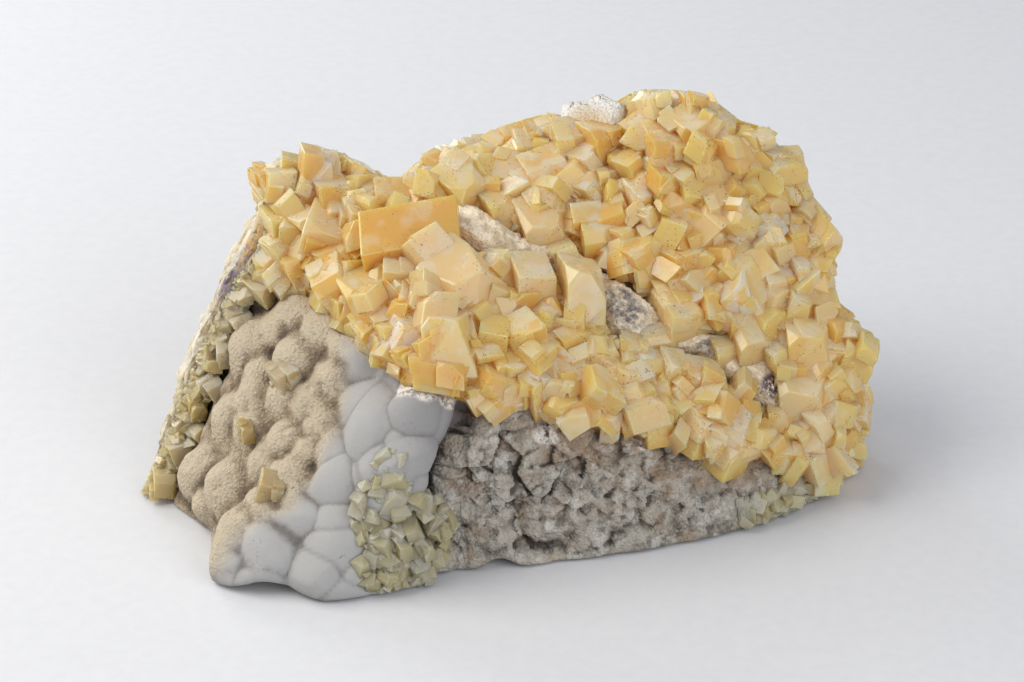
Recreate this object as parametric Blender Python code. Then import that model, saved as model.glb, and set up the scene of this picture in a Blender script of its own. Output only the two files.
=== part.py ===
"""Honey calcite on matrix: a cabinet specimen about 100 mm wide.

A leaning block of grey limestone carries lobed tan and white chalcedony on its left front slope. A crust of
rhombic calcite crystals covers its top, its right end and the broken skin at its left end, and smaller
groups and single crystals sit on the lobed slope.

Lengths below are in millimetres unless a name says otherwise; the model is built in metres, +Z up.
"""

import math
from typing import NamedTuple

import bmesh
import bpy
import numpy as np
from mathutils import Matrix, Vector

MM = 0.001
SEED = 20

# The view that positions are read from: a pixel of the 1024 x 682 picture is a ray past the specimen.
PICTURE_CENTRE = (512.0, 341.0)
VIEW_ELEVATION = math.radians(28.0)
VIEW_DISTANCE = 430.0
VIEW_TARGET = np.array((0.0, 0.0, 21.7))
PIXEL_SIZE = 100.0 / 750.0

VIEW_RIGHT = np.array((1.0, 0.0, 0.0))
VIEW_UP = np.array((0.0, math.sin(VIEW_ELEVATION), math.cos(VIEW_ELEVATION)))
VIEW_BACK = np.array((0.0, -math.cos(VIEW_ELEVATION), math.sin(VIEW_ELEVATION)))
EYE = VIEW_TARGET + VIEW_DISTANCE * VIEW_BACK

# Plan of the matrix, anticlockwise from its left corner: on the table, and at HIGH_LEVEL.
HIGH_LEVEL = 40.0
LOW_OUTLINE = (
    (-46.0, -6.5), (-43.0, -10.0), (-40.0, -13.5), (-39.3, -20.0), (-39.0, -26.0), (-35.0, -29.8),
    (-29.0, -28.3), (-24.6, -30.8), (-17.0, -28.8), (-10.5, -26.2), (-7.5, -23.0), (-1.0, -22.7),
    (6.3, -20.8), (14.2, -19.0), (22.0, -16.5), (31.0, -12.6), (38.0, -8.0), (42.5, -2.0),
    (44.0, 6.0), (43.0, 15.0), (38.0, 23.0), (30.0, 28.5), (16.0, 31.0), (2.0, 29.5),
    (-10.0, 26.5), (-20.0, 23.0), (-29.0, 20.0), (-36.5, 15.5), (-41.5, 8.5), (-45.0, 0.5),
)
HIGH_OUTLINE = (
    (-32.0, -4.5), (-43.0, -22.0), (-24.6, -30.8), (-17.0, -27.0), (-6.0, -14.0), (14.0, -10.0),
    (30.0, -6.0), (38.0, -3.0), (42.0, 6.0), (40.0, 15.0), (35.0, 23.0), (28.0, 27.5),
    (16.0, 29.0), (2.0, 27.0), (-10.0, 23.0), (-20.0, 20.0), (-28.0, 17.0), (-31.0, 12.0), (-30.5, 4.0),
)

# Spot heights (x, y, z) of the matrix's upper surface, under the crystals.
SPOT_HEIGHTS = (
    (-46.0, -7.0, 1.5), (-40.0, -14.0, 4.0), (-38.5, -12.0, 7.8), (-39.0, -25.0, 2.5), (-27.3, -24.0, 8.0),
    (-25.0, -30.5, 2.2), (-17.0, -28.5, 5.0), (-17.0, -25.0, 13.0), (-27.5, -16.0, 14.6),
    (-27.8, -8.0, 20.6), (-28.0, -1.0, 25.5), (-39.0, -2.0, 13.0), (-34.0, 1.0, 20.5),
    (-19.0, -16.0, 20.5), (-14.3, -20.0, 23.5), (-8.0, -21.0, 19.0), (-4.0, -19.5, 19.0),
    (11.4, -16.5, 16.2), (22.0, -13.5, 12.0), (31.6, -10.0, 7.4), (41.5, -5.0, 4.0),
    (11.4, -11.0, 20.0), (9.0, -4.0, 25.8), (15.0, 0.0, 26.2), (6.4, 6.0, 31.0), (12.0, 14.0, 33.5),
    (12.0, 20.0, 38.0), (10.0, 26.0, 43.5), (-4.0, 4.0, 35.0), (-4.0, -6.0, 29.0), (-4.0, -13.0, 24.5),
    (-14.4, -10.0, 28.5), (-14.7, 0.0, 32.0), (-15.0, 12.0, 37.0), (-28.2, 4.0, 28.5), (-28.3, 9.0, 34.0),
    (-28.3, 13.0, 39.0), (22.0, -4.0, 19.5), (31.6, -4.0, 14.5), (31.9, 5.0, 21.5), (32.2, 15.0, 32.0),
    (32.4, 21.0, 38.5), (42.0, -2.0, 9.0), (42.0, 5.0, 16.0), (42.0, 14.0, 25.0), (24.0, 22.0, 43.5),
    (0.0, 28.0, 38.0), (24.0, 28.0, 39.0), (36.0, 25.0, 29.0), (-12.0, 24.0, 36.0), (-24.0, 18.0, 38.0),
)

MATRIX_HEART = np.array((0.0, 0.0, 11.0))
MATRIX_HALF_SIZE = np.array((48.0, 30.0, 24.0))
EDGE_ROUNDING = 2.5
FOOT_ROUNDING = 0.8
FOOT_CUT = 0.15
FOOT_FADE = 2.5
WALL_LEAN_LIMIT = 1.15
SLOPE_SHARE = 0.78
HEIGHT_LIMITS = (0.5, 46.0)

# How far rays are followed: from the heart, in half sizes of the matrix, and to both sides of the view's target.
HEART_REACH = (0.05, 2.2)
HEART_STEP = 0.02
VIEW_REACH = 75.0
HALVINGS = 12


class Arch(NamedTuple):
    """A place where the foot of the matrix stands clear of the table: plan centre, half width, rise."""

    x: float
    y: float
    reach: float
    rise: float


ARCHES = (Arch(-32.0, -29.5, 4.2, 1.9), Arch(-1.5, -23.0, 2.0, 1.8), Arch(-9.0, -26.0, 2.0, 1.5))


class Lobe(NamedTuple):
    """A round lobe of chalcedony: its centre in the picture, in pixels, and its radius."""

    px: float
    py: float
    radius: float


LOBES = (
    Lobe(296, 311, 3.4), Lobe(322, 331, 3.5), Lobe(250, 347, 3.8), Lobe(294, 358, 3.6), Lobe(276, 330, 3.0),
    Lobe(258, 374, 2.8), Lobe(252, 398, 3.2), Lobe(283, 396, 2.8), Lobe(309, 403, 3.0), Lobe(332, 380, 3.2),
    Lobe(350, 346, 3.4), Lobe(228, 415, 3.0), Lobe(247, 424, 2.4), Lobe(283, 439, 2.5), Lobe(306, 451, 2.0),
    Lobe(263, 462, 2.5), Lobe(196, 472, 3.5), Lobe(222, 486, 3.4), Lobe(286, 478, 3.2), Lobe(205, 505, 2.6),
    Lobe(237, 528, 3.4), Lobe(263, 504, 3.0), Lobe(227, 550, 2.6), Lobe(220, 575, 2.2), Lobe(298, 504, 3.0),
    Lobe(273, 537, 3.8), Lobe(337, 488, 3.4), Lobe(342, 548, 3.4), Lobe(306, 567, 3.5), Lobe(263, 573, 3.2),
    Lobe(332, 590, 2.8), Lobe(350, 578, 2.2), Lobe(337, 450, 3.1), Lobe(375, 424, 4.0), Lobe(400, 450, 4.0),
    Lobe(421, 424, 3.2), Lobe(372, 457, 3.0), Lobe(357, 402, 2.8), Lobe(365, 476, 2.4), Lobe(332, 516, 2.6),
    Lobe(445, 418, 3.0), Lobe(425, 470, 2.8), Lobe(320, 425, 2.6), Lobe(250, 585, 2.0), Lobe(385, 500, 2.8),
)
LOBE_SPREAD = 1.12
TAN_LOBE_HEIGHT = 0.72
WHITE_LOBE_HEIGHT = 0.50
WHITE_LOBES_FROM = 325
LOBES_END = 470
LOBES_BACK = 8.0
LOBE_SINK = 0.5
ROCK_SINK = 0.4
COVERED_SINK = 0.3
WELL_COVERED = 0.8
TURNED_AWAY = -0.15

# The dark cleft between the white lobes and the grey cliff: its path in the picture, depth and half width.
CLEFT_PATH = ((468, 408), (452, 448), (436, 482), (432, 512))
CLEFT_DEPTH = 3.4
CLEFT_WIDTH = 1.7
CLEFT_BACK = -5.0


class Roughness(NamedTuple):
    """A layer of relief: its height, the size of its cells and the seed of its draws."""

    height: float
    cell: float
    seed: int


RUBBLE_BLOCKS = Roughness(0.9, 5.0, 3)
RUBBLE_GRAIN = Roughness(0.5, 2.4, 17)
FAR_BLOCKS = Roughness(2.0, 11.0, 23)
FAR_GRAIN = Roughness(0.6, 6.0, 31)
FAR_FROM = (-2.0, 10.0)
FACET_TILT = 0.9
FACET_STEP = 0.9
STEEPNESS = (1.25, 1.3)

# Outline, in the picture, of the slope with no crust, and of the bare trough between the two crystal rows.
BARE_FRONT = (
    (130, 510), (150, 470), (200, 360), (262, 285), (290, 296), (325, 300), (345, 335), (385, 352),
    (395, 378), (425, 390), (470, 396), (485, 418), (530, 405), (570, 428), (620, 432), (660, 440),
    (715, 462), (760, 462), (800, 480), (835, 497), (835, 530), (600, 640), (120, 640),
)
BARE_TROUGH = (
    (436, 206), (470, 214), (510, 236), (560, 246), (612, 282), (640, 300), (668, 330), (715, 338),
    (760, 352), (775, 372), (745, 386), (700, 352), (655, 346), (612, 330), (600, 300), (560, 268),
    (520, 258), (480, 246), (448, 226),
)
BARE_CAP = ((562, 128), (568, 100), (605, 84), (632, 90), (622, 122), (596, 124))

# Outline of the whole specimen in the picture, which no crystal of the far side rises above.
SPECIMEN_OUTLINE = (
    (137, 503), (165, 440), (200, 350), (235, 280), (258, 250), (250, 170), (300, 150), (350, 168),
    (400, 190), (430, 160), (510, 138), (545, 124), (600, 112), (640, 106), (720, 106), (770, 140),
    (805, 165), (815, 215), (845, 225), (835, 290), (880, 350), (866, 440), (845, 500), (620, 555), (320, 605),
)

CRUST_GAP = 0.32
BED_TOP = 1.5
BED_LOW = -4.5
BED_RISE = 0.55
BACK_EDGE_HEIGHT = 27.0
BACK_EDGE_WANDER = Roughness(5.0, 9.0, 11)
RIGHT_END_DROP = 23.0
RIGHT_END_FROM = (24.0, 40.0)
RIGHT_END_BACK = (6.0, 20.0)
CRUST_FOOT = 1.5
TRIMMER_GROWTH = 1.25

# Calcite breaks and grows as rhombs: a cube pushed together along one diagonal, with corners near 102 degrees.
RHOMB_SHEAR = -0.104


class Crystal(NamedTuple):
    """A calcite rhomb: its centre in the picture, in pixels, its width and height, and its roll in degrees."""

    px: float
    py: float
    width: float
    height: float
    roll: float = 0.0
    nod: float = 32.0
    turn: float = 28.0


CREST_CRYSTALS = (
    Crystal(258, 178, 4.0, 5.0, 8), Crystal(304, 163, 6.2, 6.6, -14, 20, 35),
    Crystal(347, 168, 4.2, 5.8, -18, 15, 40), Crystal(310, 195, 4.4, 4.0, -30),
    Crystal(336, 200, 4.0, 6.0, 4), Crystal(378, 185, 5.8, 3.6, 14), Crystal(365, 200, 4.8, 3.8, 22),
    Crystal(402, 199, 7.6, 3.6, -4), Crystal(338, 236, 9.4, 5.0, -27, 38, 20),
    Crystal(346, 264, 5.2, 5.0, 34), Crystal(327, 279, 4.2, 5.6, -20),
    Crystal(408, 240, 12.0, 6.4, -9, 48, 12), Crystal(281, 244, 6.4, 5.4, 6),
    Crystal(275, 216, 5.6, 5.0, -6), Crystal(300, 268, 5.0, 4.6, 20), Crystal(316, 222, 4.6, 4.6, 30),
    Crystal(362, 222, 5.0, 4.0, -20),
)
FRONT_ROW_CRYSTALS = (
    Crystal(366, 297, 5.8, 5.6, 14), Crystal(400, 279, 4.8, 4.8, -10), Crystal(434, 282, 4.4, 4.0, 26),
    Crystal(466, 280, 7.4, 7.6, 28, 30, 30), Crystal(499, 268, 4.2, 5.4, 36),
    Crystal(532, 286, 6.0, 7.8, -12, 24, 30), Crystal(581, 292, 6.8, 7.2, -14, 22, 26),
    Crystal(501, 298, 4.8, 4.8, -28), Crystal(484, 315, 4.6, 4.8, 20),
    Crystal(447, 341, 7.8, 7.4, -4, 16, 20), Crystal(395, 334, 4.8, 4.2, 12),
    Crystal(408, 357, 4.0, 4.0, 18), Crystal(499, 338, 5.4, 4.8, -16), Crystal(510, 360, 5.6, 4.0, 4),
    Crystal(540, 357, 4.8, 6.4, 12), Crystal(512, 389, 4.4, 3.8, -10), Crystal(576, 343, 5.4, 4.8, -3),
    Crystal(607, 358, 4.6, 5.4, 8), Crystal(584, 377, 4.0, 4.6, 42), Crystal(639, 394, 3.6, 5.4, 10),
    Crystal(612, 402, 5.2, 4.6, 16), Crystal(632, 352, 4.4, 4.0, -16), Crystal(632, 366, 4.2, 4.4, -16),
    Crystal(652, 370, 4.2, 5.0, -16), Crystal(672, 372, 4.2, 5.2, -16), Crystal(692, 384, 4.0, 5.2, -17),
    Crystal(711, 386, 4.4, 5.4, -18), Crystal(694, 428, 5.2, 5.6, -22, 30, -24),
    Crystal(655, 424, 4.2, 4.6, -8), Crystal(438, 372, 6.4, 4.0, -6, 6, 12),
    Crystal(372, 326, 4.4, 3.8, 20),
)
UPPER_MASS_CRYSTALS = (
    Crystal(434, 164, 4.4, 5.8, 8), Crystal(478, 141, 4.6, 4.0, -12), Crystal(462, 187, 6.4, 5.4, 6),
    Crystal(532, 128, 6.4, 4.8, -4), Crystal(548, 178, 7.6, 6.4, 8), Crystal(497, 167, 4.6, 4.2, -14),
    Crystal(587, 163, 4.8, 5.4, 22), Crystal(630, 168, 4.8, 4.6, 14), Crystal(667, 146, 6.2, 4.8, -8),
    Crystal(643, 104, 4.2, 4.0, 30), Crystal(667, 105, 4.2, 4.0, -16),
    Crystal(702, 106, 5.6, 4.6, -10, 20, 30), Crystal(730, 127, 5.2, 4.8, -30),
    Crystal(761, 136, 4.4, 3.8, 14), Crystal(792, 164, 6.4, 4.2, -8), Crystal(742, 167, 5.4, 4.6, -26),
    Crystal(713, 170, 4.8, 5.0, 10), Crystal(799, 192, 4.8, 4.6, 12), Crystal(812, 210, 4.0, 4.0, 34),
    Crystal(833, 238, 5.0, 6.2, -38, 10, 40), Crystal(596, 194, 4.2, 4.8, 34),
    Crystal(614, 207, 3.8, 4.4, -34), Crystal(716, 200, 6.6, 4.2, -5), Crystal(639, 202, 4.6, 4.6, -10),
    Crystal(652, 220, 4.4, 4.2, 16), Crystal(698, 238, 4.6, 4.0, 8), Crystal(719, 240, 4.0, 4.2, -14),
    Crystal(743, 232, 4.8, 4.6, 24), Crystal(784, 246, 5.6, 4.8, 10), Crystal(542, 224, 6.4, 5.4, 2),
    Crystal(571, 212, 4.0, 4.0, -20), Crystal(598, 234, 6.4, 5.0, -14), Crystal(625, 238, 4.8, 4.0, 20),
    Crystal(643, 252, 5.8, 5.4, 28), Crystal(680, 264, 6.2, 4.4, 4),
    Crystal(741, 276, 6.2, 9.0, 32, 22, 34), Crystal(713, 298, 5.8, 4.6, 10),
    Crystal(680, 311, 6.6, 4.8, -12), Crystal(672, 290, 5.6, 4.4, 8), Crystal(706, 276, 4.6, 4.4, 24),
    Crystal(799, 271, 5.2, 4.4, -18), Crystal(826, 280, 5.6, 5.0, -24), Crystal(512, 148, 4.8, 4.2, 16),
    Crystal(569, 140, 4.8, 4.0, -12), Crystal(601, 140, 5.4, 4.4, 6), Crystal(565, 158, 4.4, 4.2, 30),
    Crystal(690, 178, 5.0, 4.4, 14), Crystal(664, 184, 4.6, 4.4, -18), Crystal(766, 206, 5.2, 4.6, 16),
    Crystal(765, 182, 4.6, 4.2, -14), Crystal(610, 180, 4.2, 4.0, 4), Crystal(560, 196, 4.4, 3.8, -22),
    Crystal(692, 128, 5.0, 4.4, 16), Crystal(775, 280, 4.4, 4.6, -8), Crystal(475, 165, 4.2, 4.2, 24),
    Crystal(526, 150, 4.4, 4.0, -14), Crystal(526, 186, 4.2, 4.6, 10), Crystal(746, 205, 4.4, 4.2, 0),
    Crystal(782, 222, 4.6, 4.0, -20), Crystal(808, 242, 4.4, 4.4, 12),
)
RIGHT_END_CRYSTALS = (
    Crystal(749, 341, 5.4, 5.4, -14), Crystal(804, 344, 7.0, 6.4, -8, 26, 22),
    Crystal(838, 356, 5.4, 6.0, -16), Crystal(868, 352, 5.2, 4.8, -34),
    Crystal(840, 319, 8.6, 4.8, -36, 30, 14), Crystal(801, 311, 5.8, 4.8, -20),
    Crystal(765, 318, 5.0, 4.6, 12), Crystal(801, 394, 6.8, 5.8, -6), Crystal(849, 407, 5.8, 4.8, -16),
    Crystal(862, 432, 4.8, 5.4, 6), Crystal(801, 429, 4.2, 4.0, 4), Crystal(845, 459, 6.0, 4.4, -22),
    Crystal(768, 446, 4.2, 4.0, 20), Crystal(866, 386, 4.8, 4.6, 10), Crystal(825, 440, 5.0, 4.6, -30),
    Crystal(826, 382, 5.2, 4.8, 22), Crystal(818, 418, 4.6, 4.6, 10), Crystal(785, 452, 4.6, 4.0, -12),
    Crystal(812, 464, 4.6, 4.2, 16), Crystal(780, 360, 4.6, 4.8, 12), Crystal(778, 424, 3.8, 4.0, -10),
    Crystal(790, 372, 4.4, 4.4, -14), Crystal(822, 478, 4.4, 3.8, -8),
)
SKIN_CRYSTALS = (
    Crystal(201, 434, 3.0, 3.2, 40), Crystal(214, 388, 2.8, 3.0, 20), Crystal(198, 410, 3.0, 2.8, -20),
    Crystal(180, 452, 3.2, 3.0, 12), Crystal(160, 492, 3.4, 3.0, -8), Crystal(243, 322, 3.0, 3.0, 14),
    Crystal(228, 352, 3.0, 3.2, -10), Crystal(262, 288, 3.6, 3.4, 18),
)
FRONT_GROUP_CRYSTALS = (
    Crystal(395, 470, 3.6, 3.4, 12), Crystal(378, 492, 3.8, 3.6, -20), Crystal(372, 516, 4.0, 3.8, 8),
    Crystal(384, 545, 4.4, 4.4, 30), Crystal(372, 558, 3.6, 3.8, -12), Crystal(412, 528, 5.0, 5.2, 18),
    Crystal(434, 522, 4.6, 5.2, -24), Crystal(404, 548, 4.2, 4.2, -10), Crystal(425, 548, 4.6, 4.2, 12),
    Crystal(392, 580, 4.4, 3.8, -8), Crystal(416, 566, 3.8, 3.6, 26), Crystal(398, 512, 4.2, 4.4, -30),
)
FOOT_GROUP_CRYSTALS = (
    Crystal(749, 520, 3.4, 4.0, 6), Crystal(758, 508, 3.8, 4.0, -20), Crystal(772, 511, 3.6, 3.6, 18),
    Crystal(786, 503, 3.6, 3.4, -8), Crystal(744, 505, 3.0, 3.2, 24), Crystal(799, 497, 3.4, 3.2, 10),
)
LONE_CRYSTALS = {
    "lone_rhomb_upper": Crystal(284, 378, 3.4, 3.2, 12),
    "lone_rhomb_middle": Crystal(247, 432, 2.2, 2.2, -10),
    "lone_rhomb_lower": Crystal(270, 487, 3.6, 3.6, -24),
}
CRYSTAL_SCALE = 0.84
LIFT_SHARE = 0.40
LONE_LIFT_SHARE = 0.52
HIDDEN_CRYSTALS = 26
HIDDEN_TRIES = 5000
HIDDEN_SPACING = 5.2
HIDDEN_SIZE = (4.0, 6.2)
HIDDEN_LIFT = 0.3
HIDDEN_TOP = 0.6
HIDDEN_MARGIN = 0.3
HIDDEN_COVER = 0.5
HIDDEN_SPIN = 60.0
HIDDEN_FACING = 0.05
SKIN_CRYSTAL_FRONT = -0.5

# The broken skin at the left end, a leaning plate: points along the middle of its front edge, and its section.
SKIN_PATH = (
    (-48.4, -4.6, 0.0), (-46.9, -1.6, 5.0), (-44.9, 0.8, 10.0), (-42.7, 2.8, 15.5), (-40.3, 4.4, 21.0),
    (-37.6, 5.6, 26.5), (-34.6, 6.8, 31.5), (-32.4, 8.6, 36.0), (-31.6, 10.5, 40.0),
)
SKIN_THICKNESS = 3.7
SKIN_DEPTH = 13.0
SKIN_RIPPLE = 0.35
SKIN_RIPPLE_RATE = 2.4
SKIN_RIPPLE_SHIFT = 3.0
SKIN_LEAN = 0.10

MATRIX_SUBDIVISIONS = 6
BED_SUBDIVISIONS = 4
MATRIX_TRIANGLES = 1900


def photo_rays(px, py):
    """Unit directions from EYE through pixels of the picture."""
    px, py = np.atleast_1d(px).astype(float), np.atleast_1d(py).astype(float)
    across = (px - PICTURE_CENTRE[0]) * PIXEL_SIZE / VIEW_DISTANCE
    up = (PICTURE_CENTRE[1] - py) * PIXEL_SIZE / VIEW_DISTANCE
    rays = -VIEW_BACK + across[:, None] * VIEW_RIGHT + up[:, None] * VIEW_UP
    return rays / np.linalg.norm(rays, axis=1, keepdims=True)


def photo_pixels(points):
    """Where points fall in the picture, in pixels."""
    away = points - EYE
    depth = -(away @ VIEW_BACK)
    across = away @ VIEW_RIGHT / depth * VIEW_DISTANCE / PIXEL_SIZE
    up = away @ VIEW_UP / depth * VIEW_DISTANCE / PIXEL_SIZE
    return PICTURE_CENTRE[0] + across, PICTURE_CENTRE[1] - up


def inside_polygon(px, py, polygon):
    """Whether pixels lie in a polygon, by counting the sides to their right."""
    inside = np.zeros(len(px), bool)
    for (ax, ay), (bx, by) in zip(polygon, polygon[1:] + polygon[:1]):
        crosses = (ay > py) != (by > py)
        at = (bx - ax) * (py - ay) / (by - ay if by != ay else 1.0) + ax
        inside ^= crosses & (px < at)
    return inside


def lattice_values(cells, seed):
    """A repeatable value from 0 to 1 for each whole-numbered lattice point."""
    mixed = cells[..., 0] * 374761393 + cells[..., 1] * 668265263 + cells[..., 2] * 2147483647 + seed * 974711
    mixed = (mixed ^ (mixed >> 13)) * 1274126177
    return ((mixed ^ (mixed >> 16)) & 0xFFFF) / 65535.0


def value_noise(points, cell, seed):
    """Smooth noise from -1 to 1: lattice values blended across each cell."""
    scaled = points / cell
    low = np.floor(scaled).astype(np.int64)
    share = scaled - low
    share = share * share * (3.0 - 2.0 * share)
    total = np.zeros(len(points))
    for corner in np.ndindex(2, 2, 2):
        corner = np.array(corner)
        weight = np.prod(np.where(corner, share, 1.0 - share), axis=1)
        total += weight * lattice_values(low + corner, seed)
    return 2.0 * total - 1.0


def outline_radius(outline, angle):
    """Radius of a plan outline in each direction from the upright axis."""
    plan = np.array(outline)
    return np.interp(
        angle, np.arctan2(plan[:, 1], plan[:, 0]) % math.tau, np.hypot(plan[:, 0], plan[:, 1]), period=math.tau
    )


def spline_weights():
    """Weights of the thin-plate surface through the spot heights."""
    spots = np.array(SPOT_HEIGHTS)
    count = len(spots)
    plan = np.hstack([np.ones((count, 1)), spots[:, :2]])
    system = np.block([[bend(spots[:, None, :2] - spots[None, :, :2]), plan], [plan.T, np.zeros((3, 3))]])
    return np.linalg.solve(system, np.concatenate([spots[:, 2], np.zeros(3)]))


def bend(offsets):
    """The thin-plate kernel, distance squared times its logarithm."""
    squared = (offsets**2).sum(axis=-1)
    return 0.5 * squared * np.log(squared + 1e-9)


class HeightMap:
    """The matrix's upper surface, read from a regular grid of its thin-plate surface."""

    STEP = 0.5
    LOW = np.array((-58.0, -42.0))
    COUNT = (233, 169)

    def __init__(self):
        weights = spline_weights()
        spots = np.array(SPOT_HEIGHTS)
        xs = self.LOW[0] + self.STEP * np.arange(self.COUNT[0])
        ys = self.LOW[1] + self.STEP * np.arange(self.COUNT[1])
        plan = np.stack(np.meshgrid(xs, ys, indexing="ij"), axis=-1).reshape(-1, 2)
        heights = bend(plan[:, None, :] - spots[None, :, :2]) @ weights[: len(spots)]
        heights += weights[-3] + plan @ weights[-2:]
        self.grid = np.clip(heights, *HEIGHT_LIMITS).reshape(self.COUNT)

    def __call__(self, x, y):
        across = np.clip((x - self.LOW[0]) / self.STEP, 0, self.COUNT[0] - 1.001)
        along = np.clip((y - self.LOW[1]) / self.STEP, 0, self.COUNT[1] - 1.001)
        i, j = across.astype(int), along.astype(int)
        u, v = across - i, along - j
        near = self.grid[i, j] * (1 - v) + self.grid[i, j + 1] * v
        far = self.grid[i + 1, j] * (1 - v) + self.grid[i + 1, j + 1] * v
        return near * (1 - u) + far * u


HEIGHTS = HeightMap()


def smooth_least(a, b, rounding):
    """The lesser of two distances, rounded where they are nearly equal."""
    near = np.clip(0.5 + 0.5 * (b - a) / rounding, 0.0, 1.0)
    return b * (1 - near) + a * near - rounding * near * (1 - near)


def foot_height(x, y):
    """Height of the matrix's underside above the table: nothing, but for the arches."""
    rise = np.zeros(np.shape(x))
    for arch in ARCHES:
        rise += arch.rise * np.exp(-((x - arch.x) ** 2 + (y - arch.y) ** 2) / arch.reach**2)
    return rise


def matrix_depth(points):
    """Roughly how deep points lie in the bare matrix; negative outside it."""
    x, y, z = points[..., 0], points[..., 1], points[..., 2]
    angle, radius = np.arctan2(y, x) % math.tau, np.hypot(x, y)
    rise = np.clip(z / HIGH_LEVEL, 0.0, WALL_LEAN_LIMIT)
    wall = outline_radius(LOW_OUTLINE, angle) * (1 - rise) + outline_radius(HIGH_OUTLINE, angle) * rise
    top = (HEIGHTS(x, y) - z) * SLOPE_SHARE
    body = smooth_least(top, wall - radius, EDGE_ROUNDING)
    return smooth_least(body, z - foot_height(x, y), FOOT_ROUNDING)


def matrix_normals(points, step=0.35):
    """Outward unit normals of the bare matrix at points on it."""
    slope = np.empty_like(points)
    for axis in range(3):
        shift = np.zeros(3)
        shift[axis] = step
        slope[:, axis] = matrix_depth(points - shift) - matrix_depth(points + shift)
    return slope / np.maximum(np.linalg.norm(slope, axis=1, keepdims=True), 1e-9)


def march(starts, rays, near, far, depth, entering, step=0.6):
    """How far along each ray it first crosses the surface at a depth, and whether it crosses at all."""
    travel = np.arange(near, far, step)
    crossed = np.full(len(rays), np.nan)
    best, best_at = np.full(len(rays), -1e9), np.full(len(rays), near)
    for at in travel:
        here = matrix_depth(starts + rays * at) - depth
        fresh = np.isnan(crossed) & ((here > 0) if entering else (here < 0))
        crossed[fresh] = at
        better = here > best
        best[better], best_at[better] = here[better], at
    found = ~np.isnan(crossed)
    high = np.where(found, crossed, best_at)
    low = high - step * found
    for _ in range(HALVINGS):
        middle = 0.5 * (low + high)
        here = matrix_depth(starts + rays * middle[:, None]) - depth
        past = (here > 0) if entering else (here < 0)
        high, low = np.where(past, middle, high), np.where(past, low, middle)
    return high, found


def on_matrix_from_heart(directions, lift=0.0):
    """Points where rays from the heart of the matrix leave it, or leave it grown by lift."""
    rays = directions * MATRIX_HALF_SIZE
    reach, _ = march(MATRIX_HEART, rays, *HEART_REACH, -lift, entering=False, step=HEART_STEP)
    return MATRIX_HEART + rays * reach[:, None]


def on_matrix_from_view(px, py, lift=0.0):
    """The points seen at pixels of the picture, on the matrix grown by lift."""
    rays = photo_rays(px, py)
    reach, _ = march(EYE, rays, VIEW_DISTANCE - VIEW_REACH, VIEW_DISTANCE + VIEW_REACH, -lift, entering=True)
    return EYE + rays * reach[:, None]


def lobe_relief(points):
    """How far the lobes of chalcedony stand out: the highest of the domes over each point."""
    centres = on_matrix_from_view([lobe.px for lobe in LOBES], [lobe.py for lobe in LOBES])
    relief = np.zeros(len(points))
    for centre, lobe in zip(centres, LOBES):
        share = ((points - centre) ** 2).sum(axis=1) / (LOBE_SPREAD * lobe.radius) ** 2
        height = TAN_LOBE_HEIGHT if lobe.px < WHITE_LOBES_FROM else WHITE_LOBE_HEIGHT
        dome = np.sqrt(np.clip(1.0 - share, 0.0, None)) * lobe.radius * height
        relief = np.maximum(relief, dome)
    return relief


def broken_blocks(points, layer):
    """Blocky relief of broken rock: each cell is a tilted facet stepped from its neighbours."""
    height, cell, seed = layer
    base = np.floor(points / cell).astype(np.int64)
    nearest, relief = np.full(len(points), 1e9), np.zeros(len(points))
    for corner in np.ndindex(3, 3, 3):
        lattice = base + np.array(corner) - 1
        draws = [lattice_values(lattice, seed + k) for k in range(7)]
        away = points / cell - lattice - np.stack(draws[:3], axis=1)
        squared = (away**2).sum(axis=1)
        tilt = 2.0 * np.stack(draws[3:6], axis=1) - 1.0
        facet = (away * tilt).sum(axis=1) * FACET_TILT + (draws[6] - 0.5) * FACET_STEP
        closer = squared < nearest
        nearest, relief = np.where(closer, squared, nearest), np.where(closer, facet, relief)
    return height * relief


def grain(points, layer):
    """Smooth relief of a layer, up and down by its height."""
    return layer.height * value_noise(points, layer.cell, layer.seed)


def rock_relief(points, normals):
    """Rubble on the grey front cliff, and larger broken blocks on the far side."""
    steep = np.clip(STEEPNESS[0] - np.abs(normals[:, 2]) * STEEPNESS[1], 0.0, 1.0)
    far = smooth_step(points[:, 1], *FAR_FROM)
    rubble = broken_blocks(points, RUBBLE_BLOCKS) + grain(points, RUBBLE_GRAIN)
    blocks = broken_blocks(points, FAR_BLOCKS) + grain(points, FAR_GRAIN)
    return steep * (rubble * (1.0 - far) + blocks * far)


def cleft_relief(points):
    """The dark cleft between the white lobes and the grey cliff, as a negative height."""
    path = on_matrix_from_view(*np.array(CLEFT_PATH).T)
    depth = np.zeros(len(points))
    for start, end in zip(path[:-1], path[1:]):
        along = end - start
        share = np.clip(((points - start) @ along) / (along @ along), 0.0, 1.0)
        gap = np.linalg.norm(points - start - share[:, None] * along, axis=1)
        depth = np.maximum(depth, CLEFT_DEPTH * np.exp(-((gap / CLEFT_WIDTH) ** 2)))
    return -depth


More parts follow.
